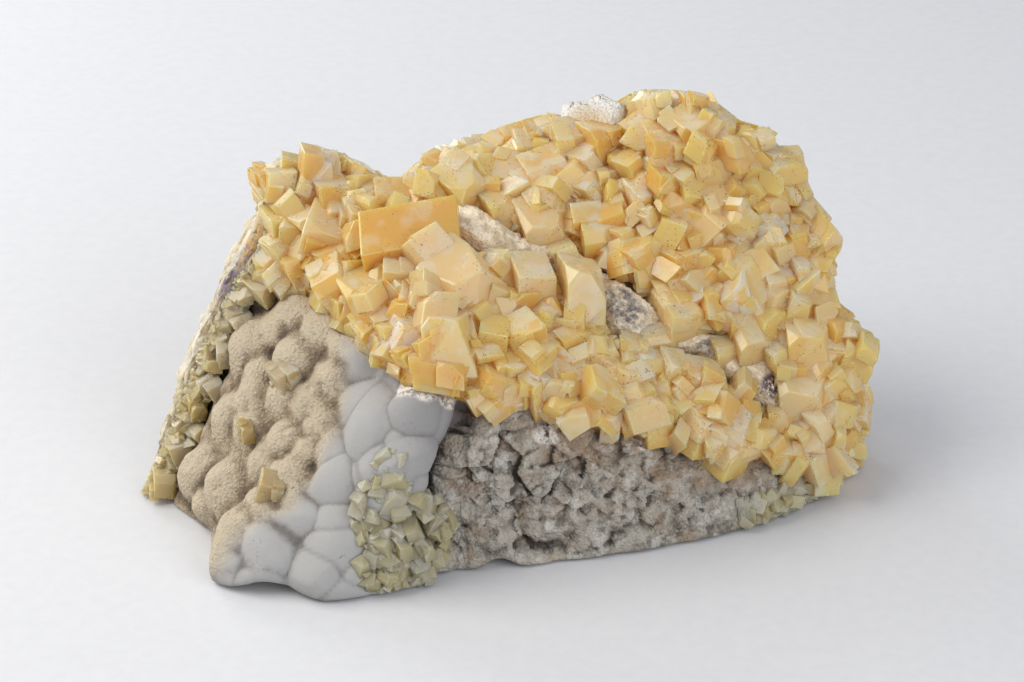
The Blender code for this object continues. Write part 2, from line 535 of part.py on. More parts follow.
def matrix_points(directions):
    """The finished matrix surface along directions from its heart."""
    bare = on_matrix_from_heart(directions)
    normals = matrix_normals(bare)
    px, py = photo_pixels(bare)
    front = normals @ VIEW_BACK > TURNED_AWAY
    lobed = inside_polygon(px, py, BARE_FRONT) & (px < LOBES_END) & front & (bare[:, 1] < LOBES_BACK)
    relief = np.where(lobed, lobe_relief(bare) - LOBE_SINK, rock_relief(bare, normals) - ROCK_SINK)
    relief = np.where(crust_cover(bare, normals) > WELL_COVERED, -COVERED_SINK, relief)
    relief += np.where(front & (bare[:, 1] < CLEFT_BACK), cleft_relief(bare), 0.0)
    off_table = np.clip((bare[:, 2] - foot_height(bare[:, 0], bare[:, 1])) / FOOT_FADE, 0.0, 1.0)
    points = bare + normals * (relief * off_table)[:, None]
    points[:, 2] = np.maximum(points[:, 2], 0.0)
    return points


def smooth_step(value, low, high):
    """Rises smoothly from 0 to 1 between two values."""
    share = np.clip((value - low) / (high - low), 0.0, 1.0)
    return share * share * (3.0 - 2.0 * share)


def polygon_gap(px, py, polygon):
    """Distance of pixels from a polygon's outline, in millimetres; negative inside it."""
    gap = np.full(len(px), 1e9)
    for (ax, ay), (bx, by) in zip(polygon, polygon[1:] + polygon[:1]):
        dx, dy = bx - ax, by - ay
        share = np.clip(((px - ax) * dx + (py - ay) * dy) / (dx * dx + dy * dy), 0.0, 1.0)
        gap = np.minimum(gap, np.hypot(px - ax - share * dx, py - ay - share * dy))
    return np.where(inside_polygon(px, py, polygon), -gap, gap) * PIXEL_SIZE


def crust_cover(points, normals):
    """How far inside the calcite crust points of the matrix are, in millimetres; negative where it is bare."""
    px, py = photo_pixels(points)
    near_side = np.minimum(polygon_gap(px, py, BARE_FRONT), polygon_gap(px, py, BARE_TROUGH))
    near_side = np.minimum(near_side, polygon_gap(px, py, BARE_CAP))
    x, y, z = points.T
    end = smooth_step(x, *RIGHT_END_FROM) * (1.0 - smooth_step(y, *RIGHT_END_BACK))
    edge = BACK_EDGE_HEIGHT - RIGHT_END_DROP * end + grain(points, BACK_EDGE_WANDER)
    cover = np.where(normals @ VIEW_BACK > 0.0, near_side, z - edge)
    return np.minimum(cover, z - CRUST_FOOT)


def new_object(name, mesh, collection):
    """An object for a mesh, in a collection."""
    thing = bpy.data.objects.new(name, mesh)
    collection.objects.link(thing)
    return thing


def sphere_mesh(name, subdivisions):
    """A unit icosphere mesh."""
    shape = bmesh.new()
    bmesh.ops.create_icosphere(shape, subdivisions=subdivisions, radius=1.0)
    mesh = bpy.data.meshes.new(name)
    shape.to_mesh(mesh)
    shape.free()
    return mesh


def vertex_array(mesh):
    """The vertices of a mesh as an array."""
    points = np.empty(len(mesh.vertices) * 3)
    mesh.vertices.foreach_get("co", points)
    return points.reshape(-1, 3)


def set_vertices(mesh, points_mm):
    """Gives a mesh vertices stated in millimetres."""
    mesh.vertices.foreach_set("co", (points_mm * MM).ravel())
    mesh.update()


def flatten_foot(mesh, level=0.0):
    """Cuts a closed mesh flat where it rests on the table."""
    shape = bmesh.new()
    shape.from_mesh(mesh)
    geometry = shape.verts[:] + shape.edges[:] + shape.faces[:]
    cut = bmesh.ops.bisect_plane(
        shape, geom=geometry, dist=1e-7, plane_co=(0, 0, level), plane_no=(0, 0, -1), clear_outer=True
    )
    rim = [part for part in cut["geom_cut"] if isinstance(part, bmesh.types.BMEdge)]
    bmesh.ops.holes_fill(shape, edges=rim)
    bmesh.ops.recalc_face_normals(shape, faces=shape.faces[:])
    shape.to_mesh(mesh)
    shape.free()


def make_matrix(collection, helpers):
    """The matrix, and a copy grown by the crust's gap that trims what grows on it."""
    fine = sphere_mesh("matrix_fine", MATRIX_SUBDIVISIONS)
    set_vertices(fine, matrix_points(vertex_array(fine)))
    source = new_object("matrix_source", fine, helpers)
    thin = source.modifiers.new("fewer_faces", "DECIMATE")
    thin.ratio = MATRIX_TRIANGLES / len(fine.polygons)
    mesh = evaluated_mesh(source, "matrix")
    flatten_foot(mesh, FOOT_CUT * MM)
    settle = vertex_array(mesh)
    settle[:, 2] -= settle[:, 2].min()
    mesh.vertices.foreach_set("co", settle.ravel())
    mesh.update()
    matrix = new_object("matrix", mesh, collection)

    grown_mesh = mesh.copy()
    grown_mesh.name = "matrix_grown"
    outward = np.empty(len(grown_mesh.vertices) * 3)
    grown_mesh.vertices.foreach_get("normal", outward)
    grown = vertex_array(grown_mesh) + outward.reshape(-1, 3) * CRUST_GAP * TRIMMER_GROWTH * MM
    set_vertices(grown_mesh, grown / MM)
    trimmer = new_object("matrix_grown", grown_mesh, helpers)
    return matrix, trimmer


def evaluated_mesh(thing, name):
    """The mesh that an object's modifiers give, as a new mesh."""
    bpy.context.view_layer.update()
    graph = bpy.context.evaluated_depsgraph_get()
    mesh = bpy.data.meshes.new_from_object(thing.evaluated_get(graph))
    mesh.name = name
    return mesh


def make_bed(helpers):
    """The sheet of calcite under the crystals: a skin that stands out of the matrix only where the crust is."""
    mesh = sphere_mesh("crust_bed", BED_SUBDIVISIONS)
    bare = on_matrix_from_heart(vertex_array(mesh))
    normals = matrix_normals(bare)
    lift = np.clip(BED_RISE * crust_cover(bare, normals), BED_LOW, BED_TOP)
    set_vertices(mesh, bare + normals * lift[:, None])
    return new_object("crust_bed", mesh, helpers)


def rhomb_matrix(crystal, centre):
    """Places a unit cube as a crystal: sheared into a rhomb, sized, then turned in the view's own axes."""
    depth = 0.5 * (crystal.width + crystal.height)
    size = Matrix.Diagonal((crystal.width, crystal.height, depth, 1.0 / CRYSTAL_SCALE)) * CRYSTAL_SCALE
    shear = Matrix([[1.0 if i == j else RHOMB_SHEAR for j in range(3)] for i in range(3)]).to_4x4()
    turn = Matrix.Rotation(math.radians(crystal.roll), 4, "Z") @ Matrix.Rotation(math.radians(crystal.nod), 4, "X")
    turn = turn @ Matrix.Rotation(math.radians(crystal.turn), 4, "Y")
    view = Matrix(np.stack([VIEW_RIGHT, VIEW_UP, VIEW_BACK], axis=1).tolist()).to_4x4()
    return Matrix.Translation(Vector(centre)) @ view @ turn @ shear @ size


def add_rhomb(shape, crystal, centre):
    """Adds one crystal to a mesh under construction."""
    bmesh.ops.create_cube(shape, size=1.0, matrix=Matrix.Scale(MM, 4) @ rhomb_matrix(crystal, centre))


def crystal_centres(crystals, share=LIFT_SHARE):
    """Where crystals sit, each lifted off the matrix by a share of its size."""
    centres = []
    for crystal in crystals:
        lift = share * min(crystal.width, crystal.height)
        centres.append(on_matrix_from_view(crystal.px, crystal.py, lift)[0])
    return np.array(centres)


def hidden_crystals(taken):
    """Crystals of the crust's far side, spread out over what the picture doesn't show."""
    random = np.random.default_rng(SEED)
    directions = random.normal(size=(HIDDEN_TRIES, 3))
    directions /= np.linalg.norm(directions, axis=1, keepdims=True)
    points = on_matrix_from_heart(directions, lift=HIDDEN_LIFT * HIDDEN_SIZE[0])
    normals = matrix_normals(points)
    high_px, high_py = photo_pixels(points + HIDDEN_TOP * HIDDEN_SIZE[1] * VIEW_UP)
    hidden = polygon_gap(high_px, high_py, SPECIMEN_OUTLINE) < -HIDDEN_MARGIN
    hidden &= (normals @ VIEW_BACK < HIDDEN_FACING) & (crust_cover(points, normals) > HIDDEN_COVER)
    placed, found = list(taken), []
    for point in points[hidden]:
        if len(found) == HIDDEN_CRYSTALS:
            break
        if min(np.linalg.norm(point - other) for other in placed) < HIDDEN_SPACING:
            continue
        width, height = random.uniform(*HIDDEN_SIZE, size=2)
        spin = random.uniform(-HIDDEN_SPIN, HIDDEN_SPIN, size=3)
        placed.append(point)
        found.append((Crystal(0, 0, width, height, *spin), point))
    return found


def skin_crystal_centres(crystals):
    """Where crystals of the end skin sit: beside its path, at the height that the picture gives."""
    path = np.array(SKIN_PATH)
    path_px, path_py = photo_pixels(path)
    order = np.argsort(path_py)
    centres = []
    for crystal in crystals:
        at = [np.interp(crystal.py, path_py[order], path[order, axis]) for axis in range(3)]
        beside = (crystal.px - np.interp(crystal.py, path_py[order], path_px[order])) * PIXEL_SIZE
        centres.append((at[0] + beside, at[1] + SKIN_CRYSTAL_FRONT, at[2]))
    return np.array(centres)


def make_skin(helpers):
    """The leaning plate at the left end: a box, cut into stations that follow its front edge."""
    path = np.array(SKIN_PATH)
    stations = len(path) - 1
    shape = bmesh.new()
    bmesh.ops.create_cube(shape, size=1.0)
    upright = [edge for edge in shape.edges if abs(edge.verts[0].co.z - edge.verts[1].co.z) > 0.5]
    bmesh.ops.subdivide_edges(shape, edges=upright, cuts=stations - 1, use_grid_fill=True)
    for corner in shape.verts:
        station = (corner.co.z + 0.5) * stations
        at = np.array([np.interp(station, np.arange(stations + 1), path[:, axis]) for axis in range(3)])
        ripple = SKIN_RIPPLE * math.sin(SKIN_RIPPLE_RATE * station + SKIN_RIPPLE_SHIFT * corner.co.x)
        sideways = corner.co.x * SKIN_THICKNESS + ripple
        back = (corner.co.y + 0.5) * SKIN_DEPTH
        corner.co = Vector((at[0] + sideways + SKIN_LEAN * back, at[1] + back, at[2])) * MM
    mesh = bpy.data.meshes.new("end_skin")
    shape.to_mesh(mesh)
    shape.free()
    return new_object("end_skin", mesh, helpers)


def crystal_heap(name, crystals, centres, helpers):
    """One object holding crystals that still overlap each other."""
    shape = bmesh.new()
    for crystal, centre in zip(crystals, centres):
        add_rhomb(shape, crystal, centre)
    mesh = bpy.data.meshes.new(name)
    shape.to_mesh(mesh)
    shape.free()
    return new_object(name, mesh, helpers)


def boolean(thing, other, operation, join_self=False):
    """Adds an exact Boolean to an object."""
    step = thing.modifiers.new(f"{operation.lower()}_{other.name}", "BOOLEAN")
    step.object = other
    step.operation = operation
    step.solver = "EXACT"
    step.use_self = join_self


def largest_piece(mesh):
    """Keeps the largest connected body of a mesh."""
    shape = bmesh.new()
    shape.from_mesh(mesh)
    unseen, bodies = set(shape.faces), []
    while unseen:
        body, edge_of_body = [], [unseen.pop()]
        while edge_of_body:
            face = edge_of_body.pop()
            body.append(face)
            for edge in face.edges:
                for neighbour in edge.link_faces:
                    if neighbour in unseen:
                        unseen.remove(neighbour)
                        edge_of_body.append(neighbour)
        bodies.append(body)
    bodies.sort(key=len)
    bmesh.ops.delete(shape, geom=[face for body in bodies[:-1] for face in body], context="FACES")
    shape.to_mesh(mesh)
    shape.free()


def finish_piece(name, source, trimmer, collection):
    """Trims a piece by the matrix, keeps its one body and stands its foot on the table."""
    boolean(source, trimmer, "DIFFERENCE")
    mesh = evaluated_mesh(source, name)
    largest_piece(mesh)
    if vertex_array(mesh)[:, 2].min() < 0.0:
        flatten_foot(mesh, 0.0)
    return new_object(name, mesh, collection)


def principled(name, colour, roughness):
    """A Principled material."""
    material = bpy.data.materials.new(name)
    material.use_nodes = True
    shader = material.node_tree.nodes["Principled BSDF"]
    shader.inputs["Base Color"].default_value = (*colour, 1.0)
    shader.inputs["Roughness"].default_value = roughness
    return material


def main():
    """Builds the specimen in its collection, with the construction shapes in another."""
    for thing in list(bpy.data.objects):
        bpy.data.objects.remove(thing)
    specimen = bpy.data.collections.new("calcite_specimen")
    helpers = bpy.data.collections.new("construction")
    for collection in (specimen, helpers):
        bpy.context.scene.collection.children.link(collection)

    stone = principled("matrix_stone", (0.62, 0.57, 0.50), 0.85)
    honey = principled("honey_calcite", (0.86, 0.62, 0.30), 0.35)
    pale = principled("pale_calcite", (0.80, 0.76, 0.48), 0.35)

    matrix, trimmer = make_matrix(specimen, helpers)
    matrix.data.materials.append(stone)

    crystals = list(CREST_CRYSTALS + FRONT_ROW_CRYSTALS + UPPER_MASS_CRYSTALS + RIGHT_END_CRYSTALS)
    centres = list(crystal_centres(crystals))
    crystals += SKIN_CRYSTALS
    centres += list(skin_crystal_centres(SKIN_CRYSTALS))
    for crystal, centre in hidden_crystals(centres):
        crystals.append(crystal)
        centres.append(centre)
    heap = crystal_heap("crust_crystals", crystals, centres, helpers)
    bed = make_bed(helpers)
    skin = make_skin(helpers)
    boolean(bed, skin, "UNION")
    boolean(bed, heap, "UNION", join_self=True)
    crust = finish_piece("calcite_crust", bed, trimmer, specimen)
    crust.data.materials.append(honey)

    groups = {"front_calcite_group": FRONT_GROUP_CRYSTALS, "foot_calcite_group": FOOT_GROUP_CRYSTALS}
    for name, members in groups.items():
        pile = crystal_heap(name + "_crystals", members, crystal_centres(members), helpers)
        first = crystal_heap(name + "_first", members[:1], crystal_centres(members[:1]), helpers)
        boolean(first, pile, "UNION", join_self=True)
        group = finish_piece(name, first, trimmer, specimen)
        group.data.materials.append(pale)
    for name, crystal in LONE_CRYSTALS.items():
        lone = crystal_heap(name + "_whole", [crystal], crystal_centres([crystal], LONE_LIFT_SHARE), helpers)
        rhomb = finish_piece(name, lone, trimmer, specimen)
        rhomb.data.materials.append(pale)

    for thing in helpers.objects:
        thing.hide_render = True
        thing.display_type = "WIRE"


main()
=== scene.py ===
"""Honey calcite on matrix: the finished look of a cabinet mineral specimen about 100 mm wide.

The specimen is a leaning block of grey stone. Lobed tan and white chalcedony covers its left front slope, a crust
of calcite rhombs covers its top and right end, and a broken skin of the same crust stands along its left end.
Shapes are worked out in millimetres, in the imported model's own axes, and stored in metres.
"""

import logging
import math
from dataclasses import dataclass, field
from enum import Enum
from typing import Callable, Iterable, NamedTuple

import bmesh
import bpy
import numpy as np
from mathutils import Euler, Matrix, Vector


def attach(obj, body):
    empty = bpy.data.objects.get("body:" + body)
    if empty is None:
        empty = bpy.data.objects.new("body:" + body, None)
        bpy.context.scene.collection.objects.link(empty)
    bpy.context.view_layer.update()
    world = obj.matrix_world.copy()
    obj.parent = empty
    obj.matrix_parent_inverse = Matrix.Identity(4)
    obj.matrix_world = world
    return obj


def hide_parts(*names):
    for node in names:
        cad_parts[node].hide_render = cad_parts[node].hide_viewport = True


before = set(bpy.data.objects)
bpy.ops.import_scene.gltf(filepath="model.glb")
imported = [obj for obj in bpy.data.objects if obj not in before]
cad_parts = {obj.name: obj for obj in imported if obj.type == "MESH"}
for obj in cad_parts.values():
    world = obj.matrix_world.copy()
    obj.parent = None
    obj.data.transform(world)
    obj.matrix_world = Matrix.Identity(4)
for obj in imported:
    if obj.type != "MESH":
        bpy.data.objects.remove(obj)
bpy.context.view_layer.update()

LOG = logging.getLogger("calcite_specimen")
MM = 0.001
BODY = "root"
Array = np.ndarray
Pixel = tuple[float, float]
Polygon = tuple[Pixel, ...]
Tint = tuple[int, int, int]
Span = tuple[float, float]
Point = tuple[float, float, float]


def smooth_step(value: Array, low: float, high: float) -> Array:
    """Rises smoothly from 0 to 1 between two values: 3t^2 - 2t^3 of the share t travelled.

    Args:
        value: What is measured.
        low: Where the rise starts.
        high: Where it ends.

    Returns:
        The share, from 0 to 1.
    """
    share = np.clip((value - low) / (high - low), 0.0, 1.0)
    return share * share * (3.0 - 2.0 * share)


def unit(vectors: Array) -> Array:
    """Vectors scaled to length one."""
    return vectors / np.maximum(np.linalg.norm(vectors, axis=-1, keepdims=True), 1e-9)


def inside_polygon(px: Array, py: Array, polygon: Polygon) -> Array:
    """Whether pixels lie in a polygon, by counting the sides to their right.

    Args:
        px: Pixel columns.
        py: Pixel rows.
        polygon: Its corners in order.

    Returns:
        One truth value per pixel.
    """
    inside = np.zeros(len(px), bool)
    for (ax, ay), (bx, by) in zip(polygon, polygon[1:] + polygon[:1]):
        crosses = (ay > py) != (by > py)
        at = (bx - ax) * (py - ay) / (by - ay if by != ay else 1.0) + ax
        inside ^= crosses & (px < at)
    return inside


def lattice_values(cells: Array, seed: int) -> Array:
    """A repeatable value from 0 to 1 for each whole-numbered lattice point.

    Args:
        cells: Whole-numbered points, shape (..., 3).
        seed: Chooses one of many such fields.

    Returns:
        One value per point.
    """
    mixed = cells[..., 0] * 374761393 + cells[..., 1] * 668265263 + cells[..., 2] * 2147483647 + seed * 974711
    mixed = (mixed ^ (mixed >> 13)) * 1274126177
    return ((mixed ^ (mixed >> 16)) & 0xFFFF) / 65535.0


def value_noise(points: Array, cell: float, seed: int) -> Array:
    """Smooth noise: lattice values blended across each cell by their smooth shares.

    Args:
        points: Places in millimetres.
        cell: Size of a cell in millimetres.
        seed: Chooses the field.

    Returns:
        Values from -1 to 1.
    """
    scaled = points / cell
    low = np.floor(scaled).astype(np.int64)
    share = scaled - low
    share = share * share * (3.0 - 2.0 * share)
    total = np.zeros(len(points))
    for corner in np.ndindex(2, 2, 2):
        offset = np.array(corner)
        weight = np.prod(np.where(offset, share, 1.0 - share), axis=1)
        total += weight * lattice_values(low + offset, seed)
    return 2.0 * total - 1.0


def layered_noise(points: Array, cell: float, seed: int, layers: int = 4) -> Array:
    """Noise summed over layers, each half the size and just over half the height of the last.

    Args:
        points: Places in millimetres.
        cell: Cell size of the coarsest layer.
        seed: Chooses the fields.
        layers: How many are summed.

    Returns:
        Values of about -1 to 1.
    """
    total, weight = np.zeros(len(points)), 0.0
    for layer in range(layers):
        share = 0.55**layer
        total += share * value_noise(points, cell * 0.5**layer, seed + 13 * layer)
        weight += share
    return total / weight


class CellField(NamedTuple):
    """What each point finds in a field of scattered seeds: the distance to the nearest, and that seed's facet."""

    nearest: Array
    facet: Array


def cell_field(points: Array, cell: float, seed: int) -> CellField:
    """Scatters one seed in each cube of a lattice and measures every point against the 27 around it.

    Args:
        points: Places in millimetres.
        cell: Lattice spacing in millimetres.
        seed: Chooses the field.

    Returns:
        Distances in cells, and the heights of random tilted planes through the nearest seeds.
    """
    base = np.floor(points / cell).astype(np.int64)
    nearest, facet = np.full(len(points), 1e9), np.zeros(len(points))
    for corner in np.ndindex(3, 3, 3):
        lattice = base + np.array(corner) - 1
        draws = [lattice_values(lattice, seed + k) for k in range(7)]
        away = points / cell - lattice - np.stack(draws[:3], axis=1)
        gap = np.linalg.norm(away, axis=1)
        tilt = 2.0 * np.stack(draws[3:6], axis=1) - 1.0
        height = (away * tilt).sum(axis=1) * 0.9 + (draws[6] - 0.5) * 0.9
        closer = gap < nearest
        nearest = np.where(closer, gap, nearest)
        facet = np.where(closer, height, facet)
    return CellField(nearest, facet)


@dataclass(frozen=True)
class PhotoView:
    """The view that the specimen is seen from: millimetres and degrees, and pixels of the 1024 x 682 picture."""

    elevation: float = 28.0
    distance: float = 430.0
    pixel_size: float = 100.0 / 750.0
    centre: Pixel = (512.0, 341.0)
    target: Point = (0.0, 0.0, 21.7)
    picture_width: float = 1024.0
    sensor_width: float = 36.0

    @property
    def right(self) -> Array:
        """The picture's rightward direction."""
        return np.array((1.0, 0.0, 0.0))

    @property
    def up(self) -> Array:
        """The picture's upward direction."""
        angle = math.radians(self.elevation)
        return np.array((0.0, math.sin(angle), math.cos(angle)))

    @property
    def back(self) -> Array:
        """The direction from the specimen to the camera."""
        angle = math.radians(self.elevation)
        return np.array((0.0, -math.cos(angle), math.sin(angle)))

    @property
    def eye(self) -> Array:
        """Where the camera stands."""
        return np.array(self.target) + self.distance * self.back

    def rays(self, px: Array, py: Array) -> Array:
        """Unit directions from the eye through pixels: centre line plus offsets over the distance.

        Args:
            px: Pixel columns.
            py: Pixel rows.

        Returns:
            Directions, shape (n, 3).
        """
        across = (np.asarray(px, float) - self.centre[0]) * self.pixel_size / self.distance
        up = (self.centre[1] - np.asarray(py, float)) * self.pixel_size / self.distance
        return unit(-self.back + across[:, None] * self.right + up[:, None] * self.up)

    def pixels(self, points: Array) -> tuple[Array, Array]:
        """Where points fall in the picture.

        Args:
            points: Places in millimetres.

        Returns:
            Pixel columns and rows.
        """
        away = points - self.eye
        scale = self.distance / self.pixel_size / -(away @ self.back)
        return self.centre[0] + away @ self.right * scale, self.centre[1] - away @ self.up * scale

    def polygon_gap(self, px: Array, py: Array, polygon: Polygon) -> Array:
        """Distance of pixels from a polygon's sides, in millimetres; negative inside it.

        Args:
            px: Pixel columns.
            py: Pixel rows.
            polygon: Its corners in order.

        Returns:
            One distance per pixel.
        """
        gap = np.full(len(px), 1e9)
        for (ax, ay), (bx, by) in zip(polygon, polygon[1:] + polygon[:1]):
            dx, dy = bx - ax, by - ay
            share = np.clip(((px - ax) * dx + (py - ay) * dy) / (dx * dx + dy * dy), 0.0, 1.0)
            gap = np.minimum(gap, np.hypot(px - ax - share * dx, py - ay - share * dy))
        return np.where(inside_polygon(px, py, polygon), -gap, gap) * self.pixel_size

    def make_camera(self) -> bpy.types.Object:
        """Makes the camera at the eye and gives it to the scene.

        Returns:
            The camera object.
        """
        lens = bpy.data.cameras.new("photo_camera")
        lens.sensor_width = self.sensor_width
        lens.lens = self.sensor_width * self.distance / (self.pixel_size * self.picture_width)
        camera = bpy.data.objects.new("photo_camera", lens)
        bpy.context.scene.collection.objects.link(camera)
        camera.location = Vector(self.eye) * MM
        camera.rotation_euler = (math.radians(90.0 - self.elevation), 0.0, 0.0)
        bpy.context.scene.camera = camera
        return camera


class Arch(NamedTuple):
    """Where the foot stands clear of the table: plan centre, reach and rise in millimetres."""

    x: float
    y: float
    reach: float
    rise: float


@dataclass(frozen=True)
class RockForm:
    """The bare block of stone as a formula: spot heights for its top, two plan outlines for its walls."""

    view: PhotoView = PhotoView()
    high_level: float = 40.0
    low_outline: Polygon = (
        (-46, -6.5), (-43, -10), (-40, -13.5), (-39.3, -20), (-39, -26), (-35, -29.8), (-29, -28.3), (-24.6, -30.8),
        (-17, -28.8), (-10.5, -26.2), (-7.5, -23), (-1, -22.7), (6.3, -20.8), (14.2, -19), (22, -16.5), (31, -12.6),
        (38, -8), (42.5, -2), (44, 6), (43, 15), (38, 23), (30, 28.5), (16, 31), (2, 29.5), (-10, 26.5), (-20, 23),
        (-29, 20), (-36.5, 15.5), (-41.5, 8.5), (-45, 0.5),
    )
    high_outline: Polygon = (
        (-32, -4.5), (-43, -22), (-24.6, -30.8), (-17, -27), (-6, -14), (14, -10), (30, -6), (38, -3), (42, 6),
        (40, 15), (35, 23), (28, 27.5), (16, 29), (2, 27), (-10, 23), (-20, 20), (-28, 17), (-31, 12), (-30.5, 4),
    )
    spot_heights: tuple[Point, ...] = (
        (-46, -7, 1.5), (-40, -14, 4), (-38.5, -12, 7.8), (-39, -25, 2.5), (-27.3, -24, 8), (-25, -30.5, 2.2),
        (-17, -28.5, 5), (-17, -25, 13), (-27.5, -16, 14.6), (-27.8, -8, 20.6), (-28, -1, 25.5), (-39, -2, 13),
        (-34, 1, 20.5), (-19, -16, 20.5), (-14.3, -20, 23.5), (-8, -21, 19), (-4, -19.5, 19), (11.4, -16.5, 16.2),
        (22, -13.5, 12), (31.6, -10, 7.4), (41.5, -5, 4), (11.4, -11, 20), (9, -4, 25.8), (15, 0, 26.2), (6.4, 6, 31),
        (12, 14, 33.5), (12, 20, 38), (10, 26, 43.5), (-4, 4, 35), (-4, -6, 29), (-4, -13, 24.5), (-14.4, -10, 28.5),
        (-14.7, 0, 32), (-15, 12, 37), (-28.2, 4, 28.5), (-28.3, 9, 34), (-28.3, 13, 39), (22, -4, 19.5),
        (31.6, -4, 14.5), (31.9, 5, 21.5), (32.2, 15, 32), (32.4, 21, 38.5), (42, -2, 9), (42, 5, 16), (42, 14, 25),
        (24, 22, 43.5), (0, 28, 38), (24, 28, 39), (36, 25, 29), (-12, 24, 36), (-24, 18, 38),
    )
    arches: tuple[Arch, ...] = (
        Arch(-32.0, -29.5, 4.2, 1.9), Arch(-1.5, -23.0, 2.0, 1.8), Arch(-9.0, -26.0, 2.0, 1.5),
    )
    heart: Point = (0.0, 0.0, 11.0)
    half_size: Point = (48.0, 30.0, 24.0)
    edge_rounding: float = 2.5
    foot_rounding: float = 0.8
    map_step: float = 0.5
    map_corner: Pixel = (-58.0, -42.0)
    map_count: tuple[int, int] = (233, 169)
    height_map: Array = field(init=False, repr=False, compare=False, default=None)

    def __post_init__(self) -> None:
        """Reads the thin-plate surface through the spot heights once, on a regular map."""
        object.__setattr__(self, "height_map", self._solve_height_map())

    @staticmethod
    def _bend(offsets: Array) -> Array:
        """The thin-plate kernel: half the squared distance times its logarithm."""
        squared = (offsets**2).sum(axis=-1)
        return 0.5 * squared * np.log(squared + 1e-9)

    def _solve_height_map(self) -> Array:
        """Solves for the surface that bends least while passing through every spot height.

        Returns:
            Heights in millimetres over the map.
        """
        spots = np.array(self.spot_heights)
        count = len(spots)
        plan = np.hstack([np.ones((count, 1)), spots[:, :2]])
        kernel = self._bend(spots[:, None, :2] - spots[None, :, :2])
        system = np.block([[kernel, plan], [plan.T, np.zeros((3, 3))]])
        weights = np.linalg.solve(system, np.concatenate([spots[:, 2], np.zeros(3)]))
        xs = self.map_corner[0] + self.map_step * np.arange(self.map_count[0])
        ys = self.map_corner[1] + self.map_step * np.arange(self.map_count[1])
        where = np.stack(np.meshgrid(xs, ys, indexing="ij"), axis=-1).reshape(-1, 2)
        heights = self._bend(where[:, None, :] - spots[None, :, :2]) @ weights[:count]
        heights += weights[count] + where @ weights[count + 1:]
        return np.clip(heights, 0.5, 46.0).reshape(self.map_count)

    def height(self, x: Array, y: Array) -> Array:
        """The height map read between its points by straight blends along both axes."""
        across = np.clip((x - self.map_corner[0]) / self.map_step, 0, self.map_count[0] - 1.001)
        along = np.clip((y - self.map_corner[1]) / self.map_step, 0, self.map_count[1] - 1.001)
        i, j = across.astype(int), along.astype(int)
        u, v = across - i, along - j
        grid = self.height_map
        near = grid[i, j] * (1 - v) + grid[i, j + 1] * v
        far = grid[i + 1, j] * (1 - v) + grid[i + 1, j + 1] * v
        return near * (1 - u) + far * u

    @staticmethod
    def _outline_radius(outline: Polygon, angle: Array) -> Array:
        """Radius of a plan outline in each direction from the upright axis."""
        plan = np.array(outline)
        corners = np.arctan2(plan[:, 1], plan[:, 0]) % math.tau
        return np.interp(angle, corners, np.hypot(plan[:, 0], plan[:, 1]), period=math.tau)

    @staticmethod
    def _rounded_least(a: Array, b: Array, rounding: float) -> Array:
        """The lesser of two distances, rounded where they are nearly equal."""
        near = np.clip(0.5 + 0.5 * (b - a) / rounding, 0.0, 1.0)
        return b * (1 - near) + a * near - rounding * near * (1 - near)

    def foot_height(self, x: Array, y: Array) -> Array:
        """Height of the underside above the table: the sum of one bell curve for each arch."""
        rise = np.zeros(np.shape(x))
        for arch in self.arches:
            rise = rise + arch.rise * np.exp(-((x - arch.x) ** 2 + (y - arch.y) ** 2) / arch.reach**2)
        return rise

    def depth(self, points: Array) -> Array:
        """Roughly how deep points lie: the least of the depths under its top, wall and underside.

        Args:
            points: Places in millimetres.

        Returns:
            Depths in millimetres, negative outside.
        """
        x, y, z = points[..., 0], points[..., 1], points[..., 2]
        angle, radius = np.arctan2(y, x) % math.tau, np.hypot(x, y)
        rise = np.clip(z / self.high_level, 0.0, 1.15)
        low, high = self._outline_radius(self.low_outline, angle), self._outline_radius(self.high_outline, angle)
        top = (self.height(x, y) - z) * 0.78
        body = self._rounded_least(top, low * (1 - rise) + high * rise - radius, self.edge_rounding)
        return self._rounded_least(body, z - self.foot_height(x, y), self.foot_rounding)

    def normals(self, points: Array, step: float = 0.35) -> Array:
        """Outward unit normals at points on the surface: the steepest fall of the depth.

        Args:
            points: Places in millimetres.
            step: Half the distance that the fall is measured over.

        Returns:
            Unit vectors.
        """
        slope = np.empty_like(points)
        for axis in range(3):
            shift = np.zeros(3)
            shift[axis] = step
            slope[:, axis] = self.depth(points - shift) - self.depth(points + shift)
        return unit(slope)

    def _march(self, start: Array, rays: Array, travel: Array, depth: float, entering: bool) -> Array:
        """How far along each ray it first crosses the surface at a depth, then halves the step twelve times."""
        crossed = np.full(len(rays), np.nan)
        best, best_at = np.full(len(rays), -1e9), np.full(len(rays), travel[0])
        for at in travel:
            here = self.depth(start + rays * at) - depth
            fresh = np.isnan(crossed) & ((here > 0) if entering else (here < 0))
            crossed[fresh] = at
            better = here > best
            best[better], best_at[better] = here[better], at
        found = ~np.isnan(crossed)
        high = np.where(found, crossed, best_at)
        low = high - (travel[1] - travel[0]) * found
        for _ in range(12):
            middle = 0.5 * (low + high)
            here = self.depth(start + rays * middle[:, None]) - depth
            past = (here > 0) if entering else (here < 0)
            high, low = np.where(past, middle, high), np.where(past, low, middle)
        return high

    def from_heart(self, directions: Array) -> Array:
        """Where rays from the heart leave the block.

        Args:
            directions: Unit vectors, stretched by the half size before use.

        Returns:
            Points in millimetres.
        """
        rays = directions * np.array(self.half_size)
        start = np.array(self.heart)
        reach = self._march(start, rays, np.arange(0.05, 2.2, 0.02), 0.0, entering=False)
        return start + rays * reach[:, None]

